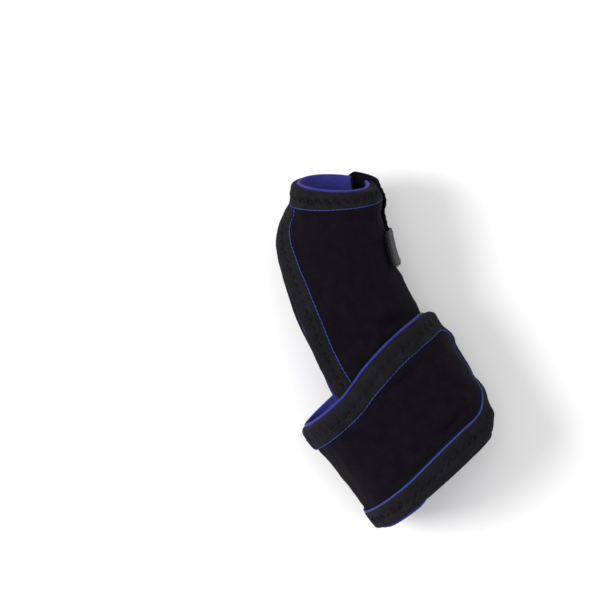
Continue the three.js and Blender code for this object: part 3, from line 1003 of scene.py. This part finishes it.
def worn(points):
    """Unevenness of the body fabric: slow swells, and furrows where it bunches above the strap."""
    height = points[..., 2]
    uneven = swell(points, 0.5) + crumple(points, 0.18)
    pressed_flat = mix(0.2, 1.0, smooth(height, 5, 15))
    palm_side = smooth(height, 30, 42)
    return pressed_flat * uneven + palm_side * creases(points, BODY_CREASES)


def pressed(angle):
    """1 on the underside, where the wrist hem lies flat over the stay's way out, 0 elsewhere."""
    return 1 - smooth(np.abs(angle + 90), 30, 50)


def crowned(across, along, crown=HEM_CROWN):
    """The rolled shape of a hem, puckered along its middle by its stitching."""

    def shape(away, angle):
        near, far = away[across + "0"], away[across + "1"]
        w = near / np.maximum(near + far, 1e-6)
        beat = 0.5 + 0.5 * np.sin(away[along + "0"] * FULL_TURN / PUCKER_PITCH)
        pull = np.exp(-(((w - 0.5) / PUCKER_REACH) ** 2)) * beat
        return (crown * (1 - (2 * w - 1) ** 4) - PUCKER * pull) * (1 - pressed(angle))

    return shape


def lining_roll(sides):
    """The edge of a lining that shows past a hem, rolled to a small cord."""

    def shape(away, angle):
        return ROLL_RISE * (1 - smooth(nearest(away, sides), 0.9, 1.5))

    return shape


def hem_rows(name, inner, middle, width=0.55):
    """A hem's sewing: blue stitches along its inner edge, and a dark zigzag along its middle."""
    return [
        dress(run_of_stitches(name + "_stitching", *inner, width=width), "blue_thread", "wrap"),
        dress(zigzag(name + "_zigzag", *middle), "dark_thread", "wrap"),
    ]


def body_side(side, name):
    low, high = WRIST_END + HEM, COLLAR_START

    def start(level):
        return side_start(side, level)

    def inner(level):
        return hem_inner(side, level)

    def tucked(level):
        return inner(level) + side * degrees_for(TUCK, inner(level), level)

    def edge_less(trim):
        return lambda level: free_edge(side, level) - side * trim

    main = cloth(
        name + "_panel_cloth", ("black_neoprene", "wrap", name + "_panel"),
        between(start, tucked, low - TUCK, high + TUCK), (PANEL_WIDE, PANEL_STEP, True, False),
        (PANEL_LONG, PANEL_STEP, False, False), CORE_FROM, BODY, step="u0", extra=worn,
    )
    lapped = between(
        lambda level: start(level) - side * LAP, edge_less(LINING_TRIM), WRIST_END + LINING_TRIM, high - GAP,
    )
    inside = cloth(
        name + "_lining_cloth", ("blue_jersey", "wrap", name + "_lining"), lapped,
        (LINING_WIDE, LINING_STEP), (LINING_LONG, LINING_STEP), 0, LINING, extra=worn,
    )
    edge = cloth(
        name + "_hem_cloth", ("hem_knit", "wrap", name + "_edge_hem"),
        between(inner, edge_less(EDGE_TRIM), low + GAP, high - GAP), (HEM, HEM_FINE_STEP),
        (PANEL_LONG, HEM_STEP), CORE_FROM, BODY + PROUD, bull="u1", step="u0", extra=worn,
        shape=crowned("u", "v"),
    )
    line = np.linspace(low + 0.5, high - 0.5, 220)
    at_inner = lambda v, _: (inner(v), v)
    in_middle = lambda v, _: ((inner(v) + free_edge(side, v)) / 2, v)
    inner_line = outer_line(at_inner, line, line, BODY + STITCH_RISE, worn)
    middle_line = outer_line(in_middle, line, line, HEM_TOP, worn)
    return main, inside, [edge, *hem_rows(name + "_hem", inner_line, middle_line)]


def ring_hem(name, node, place, round_limb, outer, inner, top, ends, width=0.55):
    """A hem that runs round the limb, with its sewing. outer and inner are its v0 or v1 sides."""
    hem = cloth(
        name + "_cloth", ("hem_knit", "wrap", node), place, (round_limb, HEM_STEP), (HEM, HEM_FINE_STEP),
        CORE_FROM, BODY + PROUD, bull=outer + " u0 u1", step=inner, extra=worn, shape=crowned("v", "u"),
    )
    along = np.linspace(ends, 1 - ends, 260)
    inner_side = np.full(along.shape, float(inner[1]))
    inner_line = outer_line(place, along, inner_side, BODY + STITCH_RISE, worn)
    middle_line = outer_line(place, along, np.full(along.shape, 0.5), top, worn)
    return [hem, *hem_rows(name, inner_line, middle_line, width)]


def wrist_hem():
    def top(u, v, angle, level):
        return BODY + PROUD - ZIGZAG_SINK + HEM_CROWN * (1 - pressed(angle))

    place = between(back_edge, palm_edge, WRIST_END, WRIST_END + HEM)
    return ring_hem("wrist_hem", "wrist_edge_hem", place, WRIST_ROUND, "v0", "v1", top, 0.02)


def collar():
    place = between(SEAM, COLLAR_TURN, COLLAR_START, RIM)
    hem = ring_hem("collar_hem", "collar_hem", place, COLLAR_ROUND, "v1", "v0", HEM_TOP, 0.01, 0.5)
    lining = cloth(
        "collar_lining_cloth", ("blue_jersey", "wrap", "collar_lining"),
        between(SEAM, COLLAR_TURN, COLLAR_START, RIM + PIPING), (96, 1.0), (HEM + PIPING, 0.8), 0, LINING,
        bull="v1", extra=worn, shape=lining_roll("v1"),
    )
    return hem, lining


def side_seam():
    """The seam beside the thumb where the two panels are joined, below the slit."""
    level = np.linspace(WRIST_END + HEM + 1, 47, 150)
    line = outer_line(lambda v, _: (np.full(v.shape, SEAM - 0.4), v), level, level, BODY - 0.05, worn)
    return dress(zigzag("side_seam_stitching", *line, reach=2.6, pitch=1.1), "dark_thread", "wrap")


def body():
    palm, palm_inside, palm_hem = body_side(1, "palm")
    back, back_inside, back_hem = body_side(-1, "back")
    collar_hem, collar_inside = collar()
    declare(palm, [*palm_hem, *collar_hem])
    declare(back, [*back_hem, *wrist_hem(), side_seam()])
    declare(palm_inside, [collar_inside])
    declare(back_inside)


# ---- The wrist strap ----

SPLIT = float(girth_at(122.0) - STRAP_END)
INNER = HALF_STRAP - HEM
UPPER_PIPING = 1.1
LOWER_PIPING = 1.5
SIDE_SINK = 0.7
SIDE_SINK_OVER = 22
STRAP_CROWN = 0.75
STRAP_ZIGZAG_RISE = 0.45
LINING_WIDTH = 2 * HALF_STRAP + UPPER_PIPING + LOWER_PIPING
LAP_RISE = 0.04
PATCH_FROM = 5.0
PATCH_TO = PATCH_FROM + HOOK_LENGTH
PATCH_LIP = 0.4
PATCH_SLOPE = 2.2
PATCH_SIDE_SLOPE = 6
HOOK_FADES = (66, 84)
SAG = 0.15
HEAVY_STITCH = {"width": 1.0, "pitch": 1.5, "length": 2.6, "slant": 0.2, "height": 0.8}


def patch_share(run, side):
    """1 over the hook patch, 0 away from it."""
    along = smooth(run, PATCH_FROM - PATCH_SLOPE, PATCH_FROM + PATCH_LIP)
    along = along * (1 - smooth(run, PATCH_TO - PATCH_LIP, PATCH_TO + PATCH_SLOPE))
    return along * (1 - smooth(np.abs(side), HOOK_WIDTH / 2, HOOK_WIDTH / 2 + PATCH_SIDE_SLOPE))


def strap_depth(run, side, angle):
    over_hook = 1 - smooth(angle, *HOOK_FADES)
    return strap_lift(angle) + HOOK_LIFT * over_hook * mix(SAG, 1.0, patch_share(run, side))


def strap_worn(points):
    """Unevenness of the strap: slow swells, and creases where it crosses the palm."""
    palm_side = smooth(points[..., 2], 24, 34)
    return swell(points, 0.35) + crumple(points, 0.2) + palm_side * creases(points, STRAP_CREASES)


def strap_cloth(name, finish, run_side, us, vs, low, high, **rest):
    """A layer of the strap. run_side(u, v) gives run and side; low and high may be functions of run."""
    def place(u, v):
        return strap_place(*run_side(u, v))

    def depth(value):
        at = value if callable(value) else lambda run: value
        return lambda u, v, angle, level: strap_depth(*run_side(u, v), angle) + at(run_side(u, v)[0])

    return cloth(name, finish, place, us, vs, depth(low), depth(high), extra=strap_worn, **rest)


def strap_hem(name, finish, run_side, us, outer, inner):
    """A strip of hem along the strap, rounded at its outer side."""
    return strap_cloth(
        name, finish, run_side, us, (HEM, HEM_FINE_STEP), CORE_FROM, STRAP + PROUD, bull=outer, step=inner,
        shape=crowned("v", "u", STRAP_CROWN),
    )


def strap_line(run, side, above):
    """A line on the strap, that far above its inner face."""
    height = lambda run, side, angle, level: strap_depth(run, side, angle) + above
    return outer_line(strap_place, run, side, height, strap_worn)


def strap_stitches(name, run, side, to, **sizes):
    row = run_of_stitches(name, *strap_line(run, side, STRAP + STITCH_RISE), **sizes)
    return dress(row, "blue_thread", to)


def strap_zigzag(name, run, side, to):
    row = zigzag(name, *strap_line(run, side, STRAP + PROUD + STRAP_ZIGZAG_RISE))
    return dress(row, "dark_thread", to)


def end_outline(margin):
    """Points round the free end, that far inside its edge, and the line's length.

    The points come as a function from share of the length to run, side and the way inwards.
    """
    arcs = [
        (CORNER_UPPER, HALF_STRAP - CORNER_UPPER, CORNER_UPPER, 90, 180),
        (CORNER_LOWER, CORNER_LOWER - HALF_STRAP, CORNER_LOWER, 180, 270),
    ]
    rows = [(SPLIT, HALF_STRAP - margin, 0, -1)]
    for x, y, radius, first, last in arcs:
        for turn in np.radians(np.linspace(first, last, 40)):
            c, s = math.cos(turn), math.sin(turn)
            rows.append((x + (radius - margin) * c, y + (radius - margin) * s, -c, -s))
    rows.append((SPLIT, margin - HALF_STRAP, 0, 1))
    rows = np.array(rows, float)
    length = lengths_along(rows[:, :2])
    return lambda share: [np.interp(share * length[-1], length, rows[:, k]) for k in range(4)], length[-1]


def over_strap(side):
    """Height of the strap's outer face near its seam, across the panel and the two hems."""
    w = np.clip((np.abs(side) - INNER) / HEM, 0, 1)
    hem = STRAP + PROUD + STRAP_CROWN * (1 - (2 * w - 1) ** 4)
    return np.where(np.abs(side) < INNER, STRAP - SIDE_SINK, hem) + 0.05


def strap_length():
    """From the split over the palm round to the seam on the back."""
    top, bottom = HALF_STRAP + UPPER_PIPING, LINING_TRIM - HALF_STRAP - LOWER_PIPING

    def part(first, last):
        return lambda u, v: (mix(SPLIT, SEAM_RUN, u), mix(first, last, v))

    def lapped(u, v):
        return mix(SPLIT, SEAM_RUN + SEAM_LAP, u), mix(bottom, top, v)

    def over_back_lining(run):
        return smooth(run, SEAM_RUN - SEAM_LAP, SEAM_RUN - 0.3)

    def finish(material, kind):
        return material, "root", "strap_root_" + kind, "strap_middle_" + kind

    us = (SEAM_RUN - SPLIT, 1.0, False, False)
    panel = strap_cloth(
        "strap_panel_cloth", finish("black_neoprene", "panel"), part(-INNER - TUCK, INNER + TUCK), us,
        (2 * INNER, None), CORE_FROM, STRAP,
        shape=lambda away, angle: -SIDE_SINK * smooth(away["u0"], 0, SIDE_SINK_OVER),
    )
    lining = strap_cloth(
        "strap_lining_cloth", finish("blue_jersey", "lining"), lapped,
        (SEAM_RUN + SEAM_LAP - SPLIT, 0.7, False, False), (LINING_WIDTH, 1.6),
        lambda run: (LINING + LAP_RISE) * over_back_lining(run),
        lambda run: mix(LINING, CORE_FROM - LAP_RISE, over_back_lining(run)),
        bull="v0 v1", shape=lining_roll("v0 v1"),
    )
    upper_finish, lower_finish = (finish("hem_knit", kind) for kind in ("upper_hem", "lower_hem"))
    upper = strap_hem("strap_upper_hem_cloth", upper_finish, part(INNER, HALF_STRAP), us, "v1", "v0")
    lower = strap_hem("strap_lower_hem_cloth", lower_finish, part(-HALF_STRAP, -INNER), us, "v0", "v1")
    run = np.linspace(SPLIT, SEAM_RUN, 300)
    inner, middle = run * 0 + INNER, run * 0 + INNER + HEM / 2
    rows = [
        strap_stitches("strap_upper_stitching", run, inner, "root"),
        strap_stitches("strap_lower_stitching", run, -inner, "root", **HEAVY_STITCH),
        strap_zigzag("strap_upper_zigzag", run, middle, "root"),
        strap_zigzag("strap_lower_zigzag", run, -middle, "root"),
    ]
    side = np.linspace(-HALF_STRAP + 1, HALF_STRAP - 1, 90)
    for k, inwards in enumerate((1.6, 5.2)):
        line = strap_line(side * 0 + SEAM_RUN - inwards, side, over_strap(side))
        row = run_of_stitches(f"strap_seam_stitching_{k + 1}", *line, width=0.5)
        rows.append(dress(row, "dark_thread", "root"))
    declare(panel, [upper, lower, *rows])
    declare(lining)


def strap_end():
    """From the split to the free end, which is pressed down by its hook patch."""
    panel_margin = HEM - TUCK

    def panel(u, v):
        run = mix(panel_margin, SPLIT, u)
        upper = end_half_width(run, CORNER_UPPER, panel_margin)
        lower = end_half_width(run, CORNER_LOWER, panel_margin)
        return run, mix(-lower, upper, v)

    def lining(u, v):
        run = mix(0, SPLIT, u)
        upper = end_half_width(run, CORNER_UPPER, 0) + UPPER_PIPING * smooth(run, 12, 24)
        piping = LOWER_PIPING * smooth(run, SPLIT - 10, SPLIT)
        lower = end_half_width(run, CORNER_LOWER, 0) + piping - LINING_TRIM
        return run, mix(-lower, upper, v)

    outline, length = end_outline(0)

    def hem(u, v):
        x, y, inward_x, inward_y = outline(u)
        return x + inward_x * HEM * (1 - v), y + inward_y * HEM * (1 - v)

    panel_cloth = strap_cloth(
        "strap_end_panel_cloth", ("black_neoprene", "tip", "strap_end_panel"), panel,
        (SPLIT - panel_margin, 1.0, True, False), (2 * INNER, None), CORE_FROM, STRAP,
    )
    lining_cloth = strap_cloth(
        "strap_end_lining_cloth", ("blue_jersey", "tip", "strap_end_lining"), lining,
        (SPLIT, 1.1, True, False), (LINING_WIDTH, 1.6), 0, LINING, bull="u0 v0 v1",
        shape=lining_roll("v0 v1"),
    )
    hem_cloth = strap_hem(
        "strap_end_hem_cloth", ("hem_knit", "tip", "strap_end_hem"), hem, (length, HEM_STEP, False, False),
        "v1", "v0",
    )
    share = np.linspace(0, 1, 700)
    run, side, _, _ = end_outline(HEM)[0](share)
    turn = int(np.argmax(side < 0))
    middle_run, middle_side, _, _ = end_outline(HEM / 2)[0](share)
    rows = [
        strap_stitches("strap_end_upper_stitching", run[:turn], side[:turn], "tip"),
        strap_stitches("strap_end_lower_stitching", run[turn:], side[turn:], "tip", **HEAVY_STITCH),
        strap_zigzag("strap_end_zigzag", middle_run, middle_side, "tip"),
    ]
    declare(panel_cloth, [hem_cloth, *rows])
    declare(lining_cloth)


def hook_patch():
    """The hook tape under the free end: a woven base and rows of small hooks below it."""
    def base(u, v):
        return strap_place(mix(PATCH_FROM, PATCH_TO, u), mix(-HOOK_WIDTH / 2, HOOK_WIDTH / 2, v))

    piece = cloth(
        "strap_hook_base", ("hook_tape", "tip", "strap_hook_patch"), base, (HOOK_LENGTH, 1.4),
        (HOOK_WIDTH, 1.4), STRAP_LIFT + 0.45, STRAP_LIFT + TAPE, bull=ALL_ROUND, extra=strap_worn,
    )
    hooks = hook_field("strap_hooks", base, (0.04, 0.05), (19, 17), STRAP_LIFT + 0.3, strap_worn)
    declare(piece, [dress(hooks, "hook_tape", "tip")])


# ---- The thumb flap and its tab ----

FLAP_CORNER_CUT = 5.0
TAB_DEPTH = BODY + FLAP + 2 * GAP
TAB_CORNERS = [(0.07, 0.11), (0.93, 0.11), (0.93, 0.89), (0.07, 0.89), (0.07, 0.11)]
TAB_CROSSING = [TAB_CORNERS[0], (0.35, 0.89)]
FRINGE_COUNT = 260


def over_flap_base(u, v, angle, level):
    """Depth of the flap's inner face, which steps up over the collar's hem."""
    return PROUD * smooth(level, COLLAR_START - 6, COLLAR_START - 1) + BODY + GAP


def over_flap(u, v, angle, level):
    return over_flap_base(u, v, angle, level) + FLAP


def flap_worn(points):
    return 0.5 * swell(points, 0.25)


def thumb_flap():
    def place(u, v):
        cut = FLAP_CORNER_CUT * (1 - smooth(u, 0, 0.3))
        level = mix(FLAP_FROM, FLAP_TO - cut, v)
        return mix(FLAP_SEWN, flap_edge(level), u), level

    piece = cloth(
        "thumb_flap_cloth", ("black_neoprene", "flap", "thumb_flap_base", "thumb_flap"), place, (44, 0.9),
        (46, 1.0), over_flap_base, over_flap, bull=ALL_ROUND, extra=flap_worn,
    )
    v = np.linspace(0.03, 0.97, 120)
    rows = []
    for k, (u, to) in enumerate(((0.05, "wrap"), (0.1, "wrap"), (0.955, "flap"))):
        line = outer_line(place, np.full(v.shape, u), v, over_flap, flap_worn)
        row = run_of_stitches(f"thumb_flap_stitching_{k + 1}", *line, width=0.45, pitch=2.3, length=1.7)
        rows.append(dress(row, "dark_thread", to))
    declare(piece, rows)


def tab_start(level):
    fold = flap_fold(level)
    return fold + degrees_for(0.6, fold, level) + 3


def thumb_tab():
    tab = between(tab_start, TAB_REACH, TAB_FROM, TAB_TO)
    hook = between(lambda level: flap_edge(level) + 2, TAB_REACH - 1, TAB_FROM + 1, TAB_TO - 1)

    def sewn(name, corners):
        share = np.linspace(0, 1, 40)[:, None]
        path = np.concatenate([mix(np.array(a), np.array(b), share) for a, b in zip(corners, corners[1:])])
        line = outer_line(tab, path[:, 0], path[:, 1], TAB_DEPTH + TAB + 0.05)
        return dress(run_of_stitches(name, *line, width=0.5, length=1.4), "tab_thread", "flap")

    piece = cloth(
        "thumb_tab_cloth", ("tab_webbing", "flap", "thumb_tab"), tab, (29, 0.8), (15, 0.8), TAB_DEPTH,
        TAB_DEPTH + TAB, bull=ALL_ROUND,
    )
    rows = [sewn("thumb_tab_stitching", TAB_CORNERS), sewn("thumb_tab_cross_stitching", TAB_CROSSING)]
    under = BODY + GAP
    base = cloth(
        "thumb_tab_hook_base", ("hook_tape", "flap", "thumb_tab_hook"), hook, (9, 0.8), (13, 0.9),
        under + 0.4, under + TAPE, bull=ALL_ROUND,
    )
    hooks = hook_field("thumb_tab_hooks", hook, (0.06, 0.06), (8, 10), under + 0.28)
    dress(hooks, "hook_tape", "flap")
    fringe = dress(tab_fringe(tab), "dark_thread", "flap")
    declare(piece, [*rows, fringe, base, hooks])


def tab_fringe(tab):
    """Loose pile caught along the tab's wrist end."""
    rng = np.random.default_rng(SEED + 1)
    u, v = rng.uniform(0.08, 0.98, FRINGE_COUNT), rng.uniform(-0.02, 0.1, FRINGE_COUNT)
    lift = rng.uniform(-0.4, 0.9, FRINGE_COUNT).mean()
    points, normal = outer_line(tab, u, v, TAB_DEPTH + lift)
    points = points + normal * rng.uniform(-0.7, 0.5, FRINGE_COUNT)[:, None]
    way = unit(rng.normal(size=(FRINGE_COUNT, 3)) + np.array([0.0, -0.8, 0.3]))
    return beads("thumb_tab_fringe", points, way, np.cross(way, unit(np.cross(way, normal))), 1.5, 0.2, 0.2)


# ---- The stay and its pocket, on the back ----

POCKET_WIDTH = 26.0
POCKET_LENGTH = 68.0
POCKET_CORNER = 6.0
POCKET_X, POCKET_Y = -2.2, -17.5
POCKET_CANT = math.radians(9)
POCKET_RIM = 2.1
POCKET_SLOPE = 4.2
POCKET_FILL = 0.98
STAY_LENGTH = 62.0
STAY_WIDTH = 14.0
TIP_LENGTH = 7.0
TIP_RADIUS = TIP_LENGTH - 0.5
STAY_START = 1.5
CHANNEL = STAY_WIDTH / 2 + 0.5
CHANNEL_END = STAY_START + STAY_LENGTH + 0.5
STAY_HEIGHT = POCKET_SHEET + GAP
PANEL_HEIGHT = BACK_FLOOR - BODY
UP = np.array([0.0, 0.0, 1.0])


def on_back(aside, forward, height):
    """Points of the pocket's own plane, which is turned towards the thumb."""
    c, s = math.cos(POCKET_CANT), math.sin(POCKET_CANT)
    return np.stack([
        POCKET_X + aside * c + forward * s,
        POCKET_Y - aside * s + forward * c,
        np.broadcast_to(height, np.shape(aside)),
    ], -1)


def pocket_half(forward, margin=0.0):
    corner = POCKET_CORNER - margin
    into = np.clip(forward - (POCKET_LENGTH - POCKET_CORNER), 0, corner)
    return POCKET_WIDTH / 2 - margin - corner + np.sqrt(np.maximum(corner ** 2 - into ** 2, 0))


def flat_grid(length, width, step):
    """Grid of places along a flat strip, in millimetres, and shares across it from -1 to 1."""
    along, across = grid((length, step), (width, 0.7))
    return along * length, across * 2 - 1


def pocket():
    f, share = flat_grid(POCKET_LENGTH, POCKET_WIDTH, 1.0)
    half = pocket_half(np.minimum(f, POCKET_LENGTH - 0.01))
    aside = half * share
    edge = np.minimum(half - np.abs(aside), POCKET_LENGTH - f)
    inside = np.minimum(CHANNEL - np.abs(aside), CHANNEL_END - f)
    outer = POCKET_RIM * (1 - smooth(edge, 0, POCKET_SLOPE)) + 0.12 * np.sin(f * 0.35) * smooth(edge, 1, 4)
    inner = mix(PANEL_HEIGHT - 0.1, POCKET_SHEET, smooth(inside, -0.9, 0.2))
    uv = np.stack([aside, f], -1)
    piece = stacked("pocket_cloth", on_back(aside, f, np.maximum(outer, 0)), on_back(aside, f, inner), uv)
    piece["flat"] = [POCKET_WIDTH, POCKET_LENGTH]
    dress(piece, "black_neoprene", "wrap", "pocket_cover", "pocket_border")
    rows = []
    for k, (margin, material) in enumerate(((1.5, "blue_thread"), (3.6, "dark_thread"))):
        along = np.linspace(0.5, POCKET_LENGTH - margin, 200)
        up = np.stack([pocket_half(along, margin), along], -1)
        path = np.concatenate([up, up[::-1] * np.array([-1.0, 1.0])])
        height = POCKET_RIM * (1 - smooth(margin, 0, POCKET_SLOPE)) - 0.12
        points = on_back(path[:, 0], path[:, 1], height)
        normals = np.tile(-UP, (len(points), 1))
        row = run_of_stitches(f"pocket_stitching_{k + 1}", points, normals, width=0.5, pitch=2.2, length=1.7)
        rows.append(dress(row, material, "wrap"))
    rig.sheet(
        piece, flat=(POCKET_WIDTH * MM, POCKET_LENGTH * MM), held="stretched", with_pieces=rows,
        area=POCKET_WIDTH * POCKET_LENGTH * MM * MM * POCKET_FILL,
    )


def bar_piece(name, start, length, radius_start, radius_end, soft):
    """A flat strip of the stay, with rounded edges and either end rounded in plan."""
    f, share = flat_grid(length, STAY_WIDTH, 0.7)
    into = np.maximum(np.clip(radius_start - f, 0, None), np.clip(f - (length - radius_end), 0, None))
    radius = max(radius_start, radius_end, 1e-6)
    half = STAY_WIDTH / 2 - radius + np.sqrt(np.maximum(radius ** 2 - np.minimum(into, radius) ** 2, 0))
    aside = half * share
    middle = on_back(aside, f + start, STAY_HEIGHT + STAY_THICK / 2)
    rise = STAY_THICK / 2 * np.maximum(quarter(nearest(distances(middle), ALL_ROUND), soft), 0.3)
    uv = np.stack([aside, f + start], -1)
    return stacked(name, middle - UP * rise[..., None], middle + UP * rise[..., None], uv)


def stay():
    end = STAY_START + STAY_LENGTH - TIP_LENGTH
    strip_start = STAY_START + TIP_LENGTH + GAP
    strip_length = STAY_LENGTH - 2 * (TIP_LENGTH + GAP)
    for name, material, node, sizes in (
        ("stay_strip", "stay_metal", "stay_bar", (strip_start, strip_length, 0, 0, 0.35)),
        ("stay_cap_wrist", "stay_tip", "stay_tip_wrist", (STAY_START, TIP_LENGTH, TIP_RADIUS, 0, 0.6)),
        ("stay_cap_hand", "stay_tip", "stay_tip_hand", (end, TIP_LENGTH, 0, TIP_RADIUS, 0.6)),
    ):
        dress(bar_piece(name, *sizes), material, "stay", node)


body()
strap_length()
strap_end()
hook_patch()
thumb_flap()
thumb_tab()
pocket()
stay()


# ---- Floor, light and camera ----

AIM = Vector((4.3 * MM, 64.5 * MM, 0.040))
DISTANCE = 0.9
PICTURE_WIDTH = 0.240
ROLL = math.radians(-42)
SENSOR = 36.0
FLOOR_SIZE = 6
FLOOR_HEIGHT = -0.0004
WORLD_STRENGTH = 0.5

# name, place in metres, width in metres, power in watts
LAMPS = [
    ("key", (-0.55, 0.55, 0.8), 0.5, 9.5),
    ("top", (0.1, 0.2, 1.2), 0.7, 3.5),
    ("fill", (0.7, -0.35, 0.7), 0.6, 2.2),
]


def floor():
    bpy.ops.mesh.primitive_plane_add(size=FLOOR_SIZE, location=(AIM.x, AIM.y, FLOOR_HEIGHT))
    plane = bpy.context.object
    plane.name = "floor"
    m = Nodes("pale_floor")
    pale = m.mix(m.noise(3.0), (0.9, 0.9, 0.9, 1), (0.93, 0.93, 0.93, 1))
    plane.data.materials.append(m.surface(pale, 0.9, specular=0.1))
    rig.stage(plane)


def lamp(name, place, size, power):
    light = bpy.data.lights.new(name, "AREA")
    light.shape = "DISK"
    light.size = size
    light.energy = power
    made = placed(name, light)
    made.location = Vector(place)
    made.rotation_euler = (AIM - Vector(place)).to_track_quat("-Z", "Y").to_euler()


def studio():
    world = bpy.data.worlds.new("studio")
    world.use_nodes = True
    background = world.node_tree.nodes["Background"]
    background.inputs["Color"].default_value = (1, 1, 1, 1)
    background.inputs["Strength"].default_value = WORLD_STRENGTH
    bpy.context.scene.world = world
    for row in LAMPS:
        lamp(*row)
    bpy.context.scene.view_settings.view_transform = "Standard"
    bpy.context.scene.view_settings.look = "None"


def camera():
    data = bpy.data.cameras.new("camera")
    data.sensor_width = SENSOR
    data.lens = SENSOR * DISTANCE / PICTURE_WIDTH
    made = placed("camera", data)
    made.location = AIM + Vector((0, 0, DISTANCE))
    made.rotation_euler = (0, 0, ROLL)
    bpy.context.scene.camera = made


floor()
studio()
camera()

visual_low, visual_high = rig.bounds()
with open("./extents.json", "w") as out:
    json.dump({
        "cad": [list(map(float, CAD_LOW)), list(map(float, CAD_HIGH))],
        "visual": [list(map(float, visual_low)), list(map(float, visual_high))],
    }, out)
